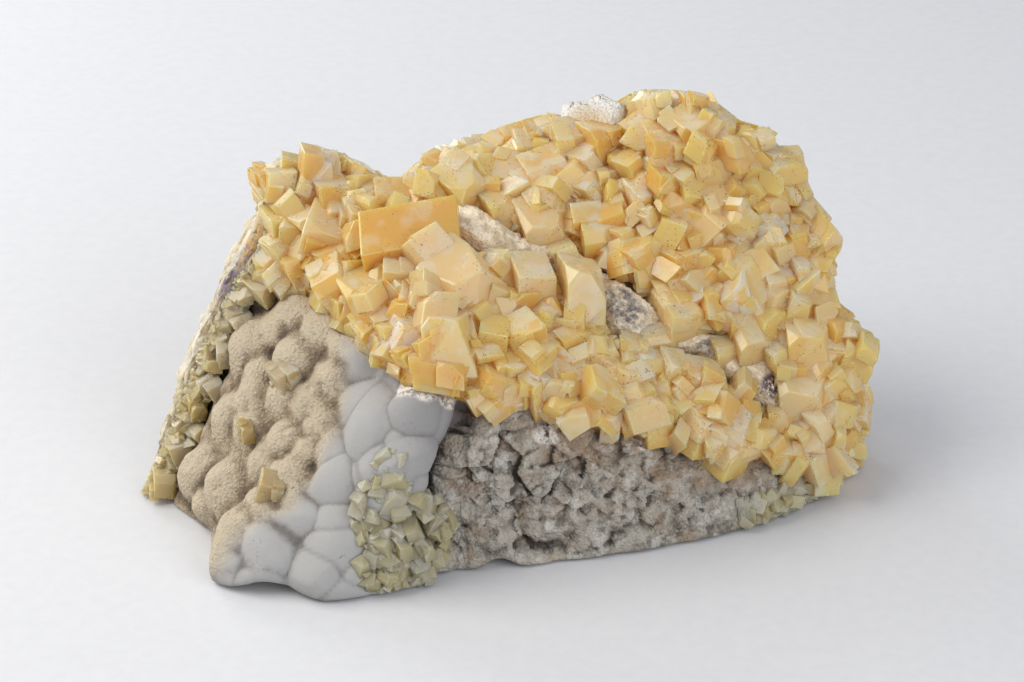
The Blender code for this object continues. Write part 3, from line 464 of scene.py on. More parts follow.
    def from_view(self, px: Array, py: Array, lift: float = 0.0) -> Array:
        """The points seen at pixels of the picture, on the block grown by lift.

        Args:
            px: Pixel columns.
            py: Pixel rows.
            lift: How far outside the surface to stop, in millimetres.

        Returns:
            Points in millimetres.
        """
        rays = self.view.rays(px, py)
        travel = np.arange(self.view.distance - 75.0, self.view.distance + 75.0, 0.6)
        reach = self._march(self.view.eye, rays, travel, -lift, entering=True)
        return self.view.eye + rays * reach[:, None]


@dataclass(frozen=True)
class CoverMap:
    """Where the calcite crust lies on the block, read from outlines in the picture."""

    rock: RockForm
    bare_front: Polygon = (
        (130, 510), (150, 470), (200, 360), (262, 285), (290, 296), (325, 300), (345, 335), (385, 352),
        (395, 378), (425, 390), (470, 396), (485, 418), (530, 405), (570, 428), (620, 432), (660, 440),
        (715, 462), (760, 462), (800, 480), (835, 497), (835, 530), (600, 640), (120, 640),
    )
    bare_trough: Polygon = (
        (436, 206), (470, 214), (510, 236), (560, 246), (612, 282), (640, 300), (668, 330), (715, 338),
        (760, 352), (775, 372), (745, 386), (700, 352), (655, 346), (612, 330), (600, 300), (560, 268),
        (520, 258), (480, 246), (448, 226),
    )
    bare_cap: Polygon = ((562, 128), (568, 100), (605, 84), (632, 90), (622, 122), (596, 124))
    bare_hollow: Polygon = ((752, 376), (768, 368), (784, 382), (786, 402), (770, 412), (756, 398))
    specimen_outline: Polygon = (
        (137, 503), (165, 440), (200, 350), (235, 280), (258, 250), (262, 215), (250, 190), (248, 165),
        (300, 143), (355, 155), (360, 172), (395, 180), (415, 172), (425, 150), (455, 140), (510, 125),
        (545, 113), (570, 118), (625, 97), (640, 90), (720, 92), (722, 108), (745, 125), (775, 128),
        (805, 152), (815, 200), (825, 220), (845, 215), (850, 235), (838, 262), (833, 297), (860, 320),
        (887, 350), (882, 372), (868, 385), (876, 410), (866, 445), (868, 465), (851, 475), (852, 495),
        (845, 503), (820, 498), (790, 515), (750, 532), (620, 555), (510, 571), (440, 585), (320, 605),
        (210, 585), (165, 503),
    )
    bed_height: float = 1.5
    back_edge_height: float = 27.0
    back_edge_wander: float = 5.0
    right_end_drop: float = 23.0

    @property
    def bare_tops(self) -> tuple[Polygon, ...]:
        """Outlines of the bare ground inside the crust."""
        return self.bare_trough, self.bare_cap, self.bare_hollow

    def cover(self, points: Array, normals: Array) -> Array:
        """How far inside the crust points are: on the seen side, their distance from the bare outlines.

        Args:
            points: Places on the block, in millimetres.
            normals: Its normals there.

        Returns:
            Millimetres, negative where the stone is bare.
        """
        view = self.rock.view
        px, py = view.pixels(points)
        near = np.min([view.polygon_gap(px, py, outline) for outline in (self.bare_front, *self.bare_tops)], axis=0)
        x, y, z = points.T
        end = smooth_step(x, 24.0, 40.0) * (1.0 - smooth_step(y, 6.0, 20.0))
        edge = self.back_edge_height - self.right_end_drop * end
        edge = edge + self.back_edge_wander * value_noise(points, 9.0, 11)
        return np.minimum(np.where(normals @ view.back > 0.0, near, z - edge), z - 1.5)

    def bed(self, cover: Array) -> Array:
        """How far intergrown calcite raises the ground under the crust, given how deep in the crust it is."""
        return self.bed_height * smooth_step(cover, 0.3, 3.2)


def add_attribute(mesh: bpy.types.Mesh, name: str, domain: str, values: Array) -> None:
    """Stores numbers or vectors on a mesh.

    Args:
        mesh: The mesh.
        name: The attribute's name.
        domain: POINT, FACE or CORNER.
        values: One number or one vector for each element.
    """
    kind, key = ("FLOAT_VECTOR", "vector") if values.ndim == 2 else ("FLOAT", "value")
    if values.dtype.kind == "i":
        kind = "INT"
    mesh.attributes.new(name, kind, domain).data.foreach_set(key, values.ravel())


def mesh_from_arrays(name: str, points: Array, corners: Array, sizes: Array) -> bpy.types.Mesh:
    """Makes a mesh from whole arrays.

    Args:
        name: The mesh's name.
        points: Places in millimetres.
        corners: Vertex numbers of every face, one face after another.
        sizes: How many corners each face has.

    Returns:
        The mesh, in metres.
    """
    mesh = bpy.data.meshes.new(name)
    mesh.vertices.add(len(points))
    mesh.vertices.foreach_set("co", (points * MM).ravel())
    mesh.loops.add(len(corners))
    mesh.loops.foreach_set("vertex_index", corners)
    mesh.polygons.add(len(sizes))
    mesh.polygons.foreach_set("loop_start", np.concatenate([[0], np.cumsum(sizes)[:-1]]))
    mesh.update(calc_edges=True)
    return mesh


def globe_mesh(name: str, rings: Array) -> bpy.types.Mesh:
    """Closes a grid of points round a body: quads between rings, and a fan of triangles at each pole.

    Args:
        name: The mesh's name.
        rings: Points in millimetres, shape (rows, columns, 3), first and last row next to the poles; columns run
            anticlockwise seen from above and rows run downwards.

    Returns:
        The mesh, with its faces pointing outwards.
    """
    rows, columns = rings.shape[:2]
    number = np.arange(rows * columns).reshape(rows, columns)
    beside = np.roll(number, -1, axis=1)
    quads = np.stack([number[:-1], number[1:], beside[1:], beside[:-1]], axis=-1).reshape(-1, 4)
    top, bottom = rows * columns, rows * columns + 1
    cap = np.stack([np.full(columns, top), number[0], beside[0]], axis=1)
    base = np.stack([np.full(columns, bottom), beside[-1], number[-1]], axis=1)
    points = np.concatenate([rings.reshape(-1, 3), rings[0].mean(axis=0)[None], rings[-1].mean(axis=0)[None]])
    corners = np.concatenate([quads.ravel(), cap.ravel(), base.ravel()])
    sizes = np.concatenate([np.full(len(quads), 4), np.full(2 * columns, 3)])
    return mesh_from_arrays(name, points, corners, sizes)


def new_piece(name: str, mesh: bpy.types.Mesh, node: str) -> bpy.types.Object:
    """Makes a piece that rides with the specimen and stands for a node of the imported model.

    Args:
        name: The piece's name.
        mesh: Its mesh.
        node: The node that it stands for.

    Returns:
        The object.
    """
    piece = bpy.data.objects.new(name, mesh)
    bpy.context.scene.collection.objects.link(piece)
    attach(piece, BODY)
    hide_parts(node)
    return piece


def colour(tint: Tint) -> tuple[float, float, float, float]:
    """A display colour, 0 to 255, as the linear values that shaders take."""
    shares = [value / 255.0 for value in tint]
    linear = [v / 12.92 if v <= 0.04045 else ((v + 0.055) / 1.055) ** 2.4 for v in shares]
    return (*linear, 1.0)


Socket = bpy.types.NodeSocket
Value = object


class Wiring:
    """Short calls for laying out shader nodes in a material or a node group."""

    def __init__(self, tree: bpy.types.NodeTree) -> None:
        """Takes the tree that nodes go in."""
        self.tree = tree
        self.count = 0

    def node(self, kind: str, **settings: Value) -> bpy.types.Node:
        """Adds a node and sets its properties.

        Args:
            kind: Blender's name for the node type.
            settings: Properties by name.

        Returns:
            The node.
        """
        made = self.tree.nodes.new(kind)
        made.location = (180.0 * (self.count % 12), -220.0 * (self.count // 12))
        self.count += 1
        for name, value in settings.items():
            setattr(made, name, value)
        return made

    def feed(self, socket: Socket, value: Value) -> None:
        """Links a socket to another, or sets it to a number, a vector or a display colour."""
        if isinstance(value, bpy.types.NodeSocket):
            self.tree.links.new(value, socket)
        elif value is not None:
            socket.default_value = colour(value) if socket.type == "RGBA" else value

    def give(self, node: bpy.types.Node, **inputs: Value) -> None:
        """Feeds inputs of a node by name, with underscores for spaces."""
        for name, value in inputs.items():
            self.feed(node.inputs[name.replace("_", " ")], value)

    def coordinates(self) -> Socket:
        """The surface's own place, in metres."""
        return self.node("ShaderNodeTexCoord").outputs["Object"]

    def attribute(self, name: str, vector: bool = False) -> Socket:
        """A number or vector stored on the mesh."""
        return self.node("ShaderNodeAttribute", attribute_name=name).outputs["Vector" if vector else "Fac"]

    def math(self, operation: str, a: Value, b: Value = None, c: Value = None) -> Socket:
        """One sum on numbers.

        Args:
            operation: Blender's name for it.
            a: First number or socket.
            b: Second.
            c: Third.

        Returns:
            The result's socket.
        """
        made = self.node("ShaderNodeMath", operation=operation)
        for socket, value in zip(made.inputs, (a, b, c)):
            self.feed(socket, value)
        return made.outputs[0]

    def times(self, a: Value, b: Value) -> Socket:
        """The product of two numbers."""
        return self.math("MULTIPLY", a, b)

    def times_plus(self, a: Value, b: Value, c: Value) -> Socket:
        """The product of two numbers, plus a third."""
        return self.math("MULTIPLY_ADD", a, b, c)

    def ramp(self, value: Value, low: float, high: float, to_low: float = 0.0, to_high: float = 1.0) -> Socket:
        """A number carried smoothly from one range to another, held at both ends.

        Args:
            value: The number or socket.
            low: Start of its range.
            high: End of its range.
            to_low: What the start becomes.
            to_high: What the end becomes.

        Returns:
            The result's socket.
        """
        made = self.node("ShaderNodeMapRange", interpolation_type="SMOOTHSTEP")
        self.give(made, Value=value, From_Min=low, From_Max=high, To_Min=to_low, To_Max=to_high)
        return made.outputs[0]

    def blend(self, factor: Value, a: Value, b: Value) -> Socket:
        """Two colours mixed.

        Args:
            factor: Share of the second.
            a: First colour.
            b: Second colour.

        Returns:
            The colour's socket.
        """
        made = self.node("ShaderNodeMix", data_type="RGBA")
        for number, value in ((0, factor), (6, a), (7, b)):
            self.feed(made.inputs[number], value)
        return made.outputs[2]

    def noise(self, where: Socket, size_mm: float, detail: float = 4.0, rough: float = 0.55) -> Socket:
        """Layered noise whose coarsest features are about a size across."""
        made = self.node("ShaderNodeTexNoise")
        self.give(made, Vector=where, Scale=1.0 / (size_mm * MM), Detail=detail, Roughness=rough)
        return made.outputs[0]

    def cells(self, where: Socket, size_mm: float) -> Socket:
        """Distance to the nearest of a field of seeds about a size apart."""
        made = self.node("ShaderNodeTexVoronoi")
        self.give(made, Vector=where, Scale=1.0 / (size_mm * MM))
        return made.outputs["Distance"]

    def noise_vector(self, where: Socket, size_mm: float, reach_mm: float) -> Socket:
        """The place moved about by layered noise, by up to about a reach."""
        made = self.node("ShaderNodeTexNoise")
        self.give(made, Vector=where, Scale=1.0 / (size_mm * MM))
        moved = self.node("ShaderNodeVectorMath", operation="MULTIPLY_ADD")
        for socket, value in zip(moved.inputs, (made.outputs["Color"], (reach_mm * MM,) * 3, where)):
            self.feed(socket, value)
        return moved.outputs[0]

    def bump(self, height: Value, distance_mm: Value, strength: float = 1.0, over: Value = None) -> Socket:
        """A bump of a height in millimetres, laid over another normal."""
        made = self.node("ShaderNodeBump")
        distance = self.times(distance_mm, MM)
        self.give(made, Strength=strength, Distance=distance, Height=height, Normal=over)
        return made.outputs[0]

    def place_group(self, group: bpy.types.NodeTree, **inputs: Value) -> bpy.types.Node:
        """Places a node group with its own values.

        Args:
            group: The group.
            inputs: Values by input name, with underscores for spaces.

        Returns:
            The group node.
        """
        made = self.node("ShaderNodeGroup", node_tree=group)
        self.give(made, **inputs)
        return made


def shader_group(name: str, inputs: Iterable[tuple[str, str, float]], outputs: Iterable[str],
                 lay_out: Callable[[Wiring, dict[str, Socket]], dict[str, Socket]]) -> bpy.types.NodeTree:
    """Builds a node group once.

    Args:
        name: The group's name.
        inputs: Name, socket kind and default of each input.
        outputs: Names of the outputs, all numbers.
        lay_out: Lays out the nodes, given the inputs, and returns a socket for each output.

    Returns:
        The group.
    """
    group = bpy.data.node_groups.new(name, "ShaderNodeTree")
    for label, kind, value in inputs:
        socket = group.interface.new_socket(label, in_out="INPUT", socket_type=kind)
        if kind == "NodeSocketFloat":
            socket.default_value = value
    for label in outputs:
        group.interface.new_socket(label, in_out="OUTPUT", socket_type="NodeSocketFloat")
    wiring = Wiring(group)
    entry, leave = wiring.node("NodeGroupInput"), wiring.node("NodeGroupOutput")
    made = lay_out(wiring, {socket.name: socket for socket in entry.outputs if socket.name})
    for label in outputs:
        wiring.feed(leave.inputs[label], made[label])
    return group


@dataclass(frozen=True)
class SharedEffects:
    """Effects that several finishes use: sugary grain, clustered specks and soft mottling."""

    grain: bpy.types.NodeTree
    specks: bpy.types.NodeTree
    mottle: bpy.types.NodeTree

    @classmethod
    def build(cls) -> "SharedEffects":
        """Builds the three groups.

        Returns:
            The groups, ready to place.
        """
        where = ("Where", "NodeSocketVector", 0.0)

        def grain(wiring: Wiring, given: dict[str, Socket]) -> dict[str, Socket]:
            """Grain: rounded cells plus finer noise, both at the Size in millimetres."""
            scaled = wiring.node("ShaderNodeVectorMath", operation="SCALE")
            wiring.feed(scaled.inputs[0], given["Where"])
            wiring.feed(scaled.inputs["Scale"], wiring.math("DIVIDE", 1.0, given["Size"]))
            coarse = wiring.cells(scaled.outputs[0], 1.0)
            fine = wiring.noise(scaled.outputs[0], 0.8, 3.0)
            height = wiring.times_plus(fine, 0.8, wiring.math("SUBTRACT", 0.6, coarse))
            return {"Height": height, "Sparkle": wiring.ramp(fine, 0.58, 0.70)}

        def specks(wiring: Wiring, given: dict[str, Socket]) -> dict[str, Socket]:
            """Specks: small cells near their seeds, kept only inside soft clusters."""
            scaled = wiring.node("ShaderNodeVectorMath", operation="SCALE")
            wiring.feed(scaled.inputs[0], wiring.noise_vector(given["Where"], 1.3, 1.6))
            wiring.feed(scaled.inputs["Scale"], wiring.math("DIVIDE", 1.0, given["Size"]))
            distance = wiring.cells(scaled.outputs[0], 2.6)
            dot = wiring.ramp(distance, 0.31, 0.21)
            cluster = wiring.noise(given["Where"], 3.4, 2.0)
            kept = wiring.ramp(cluster, wiring.math("SUBTRACT", 0.74, given["Amount"]), 0.72)
            uneven = wiring.ramp(wiring.noise(given["Where"], 0.6, 2.0), 0.44, 0.54)
            return {"Mask": wiring.times(wiring.times(dot, kept), uneven)}

        def mottle(wiring: Wiring, given: dict[str, Socket]) -> dict[str, Socket]:
            """Mottling: broad and fine layered noise, averaged."""
            broad = wiring.noise(given["Where"], 7.0, 3.0)
            fine = wiring.noise(given["Where"], 1.6, 5.0, 0.65)
            return {"Broad": wiring.ramp(broad, 0.36, 0.64), "Fine": wiring.ramp(fine, 0.33, 0.67)}

        size = ("Size", "NodeSocketFloat", 0.3)
        return cls(
            grain=shader_group("sugary_grain", (where, size), ("Height", "Sparkle"), grain),
            specks=shader_group("speck_clusters", (where, size, ("Amount", "NodeSocketFloat", 0.2)), ("Mask",), specks),
            mottle=shader_group("mottling", (where,), ("Broad", "Fine"), mottle),
        )


def new_material(name: str) -> tuple[bpy.types.Material, Wiring, bpy.types.Node]:
    """Makes a material with its Principled shader.

    Args:
        name: The material's name.

    Returns:
        The material, a wiring for its tree, and the shader.
    """
    material = bpy.data.materials.new(name)
    material.use_nodes = True
    return material, Wiring(material.node_tree), material.node_tree.nodes["Principled BSDF"]


@dataclass(frozen=True)
class CalciteFinish:
    """Milky calcite: deep near the stone and pale towards its tips, partly its own colour and partly painted shade
    between the crystals, and paler on its upward faces as painted top light.
    """

    name: str
    deep: Tint
    body: Tint
    pale: Tint
    lemon_deep: Tint = (228, 184, 84)
    lemon: Tint = (246, 222, 156)
    veil: Tint = (244, 236, 218)
    blush: Tint = (248, 216, 182)
    amber: Tint = (236, 176, 72)
    speck: Tint = (84, 54, 28)
    specks: float = 0.30
    roughness: float = 0.20
    glow: float = 0.85
    clarity: float = 0.36
    ior: float = 1.55
    speck_size: float = 0.15
    growth_steps: Point = (0.4, 0.4, 4.0)
    glow_reach_mm: Point = (2.6, 1.9, 1.1)

    def build(self, effects: SharedEffects) -> bpy.types.Material:
        """Lays out the material.

        Args:
            effects: The shared node groups.

        Returns:
            The material.
        """
        material, w, shader = new_material(self.name)
        where = w.coordinates()
        lattice = w.attribute("lattice", vector=True)
        tone, rise, stand, shade = (w.attribute(name) for name in ("tone", "rise", "stand", "shade"))
        mottle = w.place_group(effects.mottle, Where=where)
        deep = w.blend(shade, self.deep, self.lemon_deep)
        body = w.blend(shade, self.body, self.lemon)
        # Deeper orange near the stone and paler towards the tips, by the stand and rise marks: partly the calcite's own
        # colour and partly painted shade in the recesses between crystals.
        high = w.times_plus(w.ramp(stand, 0.3, 4.0), 0.50, w.times(rise, 0.42))
        high = w.times_plus(mottle.outputs["Broad"], 0.20, w.math("SUBTRACT", high, 0.20))
        base = w.blend(w.ramp(high, -0.24, 0.52), deep, body)
        draw = w.math("FRACT", w.times(tone, 7.31))
        base = w.blend(w.ramp(draw, 0.55, 0.85, 0.0, 0.45), base, self.blush)
        base = w.blend(w.ramp(draw, 0.35, 0.10, 0.0, 0.50), base, self.amber)
        # Upward faces are blended towards the pale tint as painted top light, mixed with the real milky clouding and
        # the crystal's tone.
        facing = w.node("ShaderNodeSeparateXYZ")
        w.feed(facing.inputs[0], w.node("ShaderNodeNewGeometry").outputs["Normal"])
        cloud = w.ramp(w.noise(where, 3.0, 2.0, 0.45), 0.42, 0.66)
        milky_and_top_light = w.times_plus(w.ramp(facing.outputs["Z"], 0.2, 1.0), 0.30, w.times(cloud, 0.40))
        milky_and_top_light = w.times_plus(tone, 0.40, milky_and_top_light)
        base = w.blend(w.ramp(milky_and_top_light, 0.30, 1.10, 0.0, 0.9), base, self.pale)
        veil = w.times(w.ramp(tone, 0.955, 0.985), w.ramp(w.noise(lattice, 1.8, 3.0), 0.44, 0.56))
        base = w.blend(w.times(veil, 0.85), base, self.veil)
        specks = w.place_group(effects.specks, Where=where, Size=self.speck_size, Amount=self.specks)
        base = w.blend(w.times(specks.outputs["Mask"], 0.9), base, self.speck)
        gloss = w.ramp(mottle.outputs["Broad"], 0.0, 1.0, self.roughness - 0.08, self.roughness + 0.12)
        w.give(shader, Base_Color=base, Roughness=gloss, IOR=self.ior, Subsurface_Weight=self.glow,
               Subsurface_Radius=self.glow_reach_mm, Subsurface_Scale=MM, Transmission_Weight=self.clarity)
        stretched = w.node("ShaderNodeMapping")
        w.give(stretched, Scale=self.growth_steps, Vector=lattice)
        steps = w.noise(stretched.outputs[0], 2.4, 2.0, 0.5)
        dents = w.noise(where, 1.6, 2.0, 0.5)
        normal = w.bump(dents, 0.07, 0.5, over=w.bump(steps, 0.07, 0.5))
        w.feed(shader.inputs["Normal"], normal)
        return material


@dataclass(frozen=True)
class PlateFinish:
    """The broken plate at the left end: crusty grey-green calcite with a white rim and a purple patch."""

    name: str = "end_plate_crust"
    light: Tint = (204, 192, 160)
    dark: Tint = (146, 128, 96)
    amber: Tint = (206, 168, 112)
    white: Tint = (222, 217, 204)
    purple: Tint = (112, 96, 126)
    glow: float = 0.5
    glow_reach_mm: Point = (1.2, 0.9, 0.5)

    def build(self, effects: SharedEffects) -> bpy.types.Material:
        """Lays out the material.

        Args:
            effects: The shared node groups.

        Returns:
            The material.
        """
        material, w, shader = new_material(self.name)
        where = w.coordinates()
        mottle = w.place_group(effects.mottle, Where=where)
        # The plate is darker in its hollows by its cavity mark: painted shade, mixed with mottling.
        level = w.times_plus(mottle.outputs["Fine"], 0.7, w.times(w.attribute("cavity"), 0.5))
        base = w.blend(w.ramp(level, -0.1, 0.8), self.dark, self.light)
        base = w.blend(w.times(w.ramp(mottle.outputs["Broad"], 0.5, 0.9), 0.4), base, self.white)
        base = w.blend(w.times(w.attribute("purple"), w.ramp(mottle.outputs["Fine"], 0.2, 0.7)), base,
                       self.purple)
        base = w.blend(w.times(w.attribute("amber"), w.ramp(mottle.outputs["Fine"], 0.9, 0.4)), base,
                       self.amber)
        base = w.blend(w.attribute("rim"), base, self.white)
        gloss = w.ramp(mottle.outputs["Fine"], 0.0, 1.0, 0.45, 0.85)
        w.give(shader, Base_Color=base, Roughness=gloss, Subsurface_Weight=self.glow,
               Subsurface_Radius=self.glow_reach_mm, Subsurface_Scale=MM)
        grain = w.place_group(effects.grain, Where=where, Size=0.3)
        w.feed(shader.inputs["Normal"], w.bump(grain.outputs["Height"], 0.12, 0.9))
        return material


@dataclass(frozen=True)
class StoneFinish:
    """The block's surface: colours for each kind of ground, mixed by what is stored on the mesh, with painted shade in
    its hollows, creases and deep recesses and on the right of the white lobes, and painted glints among the tan grain.
    """

    name: str = "matrix_ground"
    tan_crown: Tint = (194, 179, 153)
    tan_hollow_shade: Tint = (132, 114, 90)
    white_crown: Tint = (170, 168, 165)
    white_hollow_shade: Tint = (122, 118, 114)
    dusk: Tint = (128, 125, 124)
    cliff_light: Tint = (182, 174, 160)
    cliff_dark: Tint = (96, 88, 77)
    cliff_band: Tint = (158, 128, 98)
    trough_light: Tint = (248, 234, 206)
    trough_dark: Tint = (212, 190, 156)
    cap: Tint = (236, 230, 220)
    quartz: Tint = (150, 142, 136)
    quartz_dark: Tint = (98, 90, 92)
    under_crust: Tint = (240, 200, 128)
    chalk: Tint = (232, 226, 214)
    rust: Tint = (150, 92, 68)
    violet: Tint = (92, 74, 92)
    cliff_white: Tint = (206, 202, 192)
    grain_and_glint: Tint = (232, 222, 204)
    far_light: Tint = (182, 174, 162)
    far_dark: Tint = (112, 104, 94)
    recess_shadow: Tint = (52, 44, 38)
    speck: Tint = (88, 66, 46)

    def build(self, effects: SharedEffects) -> bpy.types.Material:
        """Lays out the material.

        Args:
            effects: The shared node groups.

        Returns:
            The material.
        """
        material, w, shader = new_material(self.name)
        where = w.coordinates()
        mottle = w.place_group(effects.mottle, Where=where)
        broad, fine = mottle.outputs["Broad"], mottle.outputs["Fine"]
        cavity = w.attribute("cavity")
        grain = w.place_group(effects.grain, Where=where, Size=0.42)
        pits = w.ramp(grain.outputs["Height"], 0.35, 0.85)
        # Tan is darker in the hollows between lobes and lighter on their crowns by the cavity mark: painted shade,
        # mixed with the grain's pits and mottling.
        crown = w.ramp(w.times_plus(fine, 0.18, w.times_plus(pits, 0.2, cavity)), -0.5, 0.45)
        tan = w.blend(crown, self.tan_hollow_shade, self.tan_crown)
        # Light dots on the tan grain: partly lighter grains and partly painted glints.
        tan = w.blend(w.times(grain.outputs["Sparkle"], 0.42), tan, self.grain_and_glint)
        # The white ground is darker in its hollows by the cavity mark: painted shade, with mottling.
        dip = w.ramp(w.times_plus(fine, 0.5, cavity), -0.95, 0.25)
        white = w.blend(dip, self.white_hollow_shade, self.white_crown)
        gritty = w.ramp(w.noise(where, 0.7, 3.0, 0.7), 0.3, 0.7)
        # The cliff is darker in its hollows by the cavity mark: painted shade, mixed with gritty mottling.
        level = w.times_plus(gritty, 0.5, w.times_plus(fine, 0.4, cavity))
        cliff = w.blend(w.ramp(level, -0.4, 0.9), self.cliff_dark, self.cliff_light)
        chips = w.cells(w.noise_vector(where, 1.2, 0.3), 1.1)
        cliff = w.blend(w.ramp(chips, 0.55, 0.80, 0.0, 0.3), cliff, self.cliff_dark)
        pale_spots = w.ramp(w.noise(where, 2.4, 4.0, 0.65), 0.51, 0.63, 0.0, 0.75)
        cliff = w.blend(pale_spots, cliff, self.cliff_white)
        cliff = w.blend(w.ramp(w.noise(where, 4.2, 4.0, 0.6), 0.52, 0.66, 0.0, 0.50), cliff, self.cliff_band)
        browned = w.times(gritty, w.ramp(broad, 0.1, 0.8, 0.35, 0.9))
        browned = w.times(w.attribute("band"), browned)
        cliff = w.blend(browned, cliff, self.cliff_band)
        # Painted shade on the right side of the white lobes, which faces away from the light.
        white = w.blend(w.times(w.attribute("dusk"), 0.75), white, self.dusk)
        # Painted shade in the creases between the white cobbles.
        white = w.blend(w.times(w.attribute("crease"), 0.38), white, self.white_hollow_shade)
        trough = w.blend(w.ramp(w.times_plus(fine, 0.9, broad), 0.3, 1.2), self.trough_dark,
                         self.trough_light)
        trough = w.blend(w.attribute("cap"), trough, self.cap)
        grey = w.times(w.attribute("quartz"), w.ramp(w.noise(where, 1.1, 4.0, 0.7), 0.32, 0.6))
        trough = w.blend(grey, trough, w.blend(gritty, self.quartz_dark, self.quartz))
        # The far side is darker in its hollows by the cavity mark: painted shade, mixed with gritty mottling.
        far = w.blend(w.ramp(w.times_plus(gritty, 0.5, w.times_plus(fine, 0.3, cavity)), -0.5, 0.9),
                      self.far_dark, self.far_light)
        far = w.blend(w.ramp(w.noise(where, 5.0, 4.0, 0.6), 0.50, 0.64, 0.0, 0.6), far, self.cliff_band)
        ground = w.blend(w.attribute("cliff"), far, cliff)
        ground = w.blend(w.attribute("lobed"), ground, w.blend(w.attribute("white"), tan, white))
        ground = w.blend(w.attribute("trough"), ground, trough)
        ground = w.blend(w.attribute("crusted"), ground, self.under_crust)
        for mark, tint in {"chalk": self.chalk, "rust": self.rust, "violet": self.violet}.items():
            ground = w.blend(w.times(w.attribute(mark), w.ramp(gritty, 0.1, 0.6)), ground, tint)
        # Near-black in the deepest hollows by the cavity mark, spared on the trough and the white lobes: painted shadow
        # in the recesses.
        spared = w.math("MAXIMUM", w.times(w.attribute("trough"), 0.85),
                        w.times(w.times(w.attribute("white"), w.attribute("lobed")), 0.8))
        recess_shadow_share = w.times(w.ramp(cavity, -0.35, -0.98, 0.0, 0.8), w.math("SUBTRACT", 1.0, spared))
        ground = w.blend(recess_shadow_share, ground, self.recess_shadow)
        specks = w.place_group(effects.specks, Where=where, Size=0.26, Amount=0.16)
        ground = w.blend(w.times(specks.outputs["Mask"], 0.5), ground, self.speck)
        w.give(shader, Base_Color=ground, Roughness=w.ramp(fine, 0.0, 1.0, 0.72, 0.95))
        ground_height = w.noise(where, 1.0, 4.0, 0.7)
        smooth = w.times(w.attribute("white"), w.attribute("lobed"))
        chipped = w.bump(w.times(chips, w.attribute("cliff")), 0.35, 0.8)
        coarse = w.bump(ground_height, w.ramp(smooth, 0.0, 1.0, 0.5, 0.10), 0.8, over=chipped)
        grainy = w.ramp(smooth, 0.0, 1.0, 0.22, 0.03)
        w.feed(shader.inputs["Normal"], w.bump(grain.outputs["Height"], grainy, 0.9, over=coarse))
        return material


class Lobe(NamedTuple):
    """A round lobe of chalcedony: its centre in the picture, in pixels, and its radius in millimetres."""

    px: float
    py: float
    radius: float


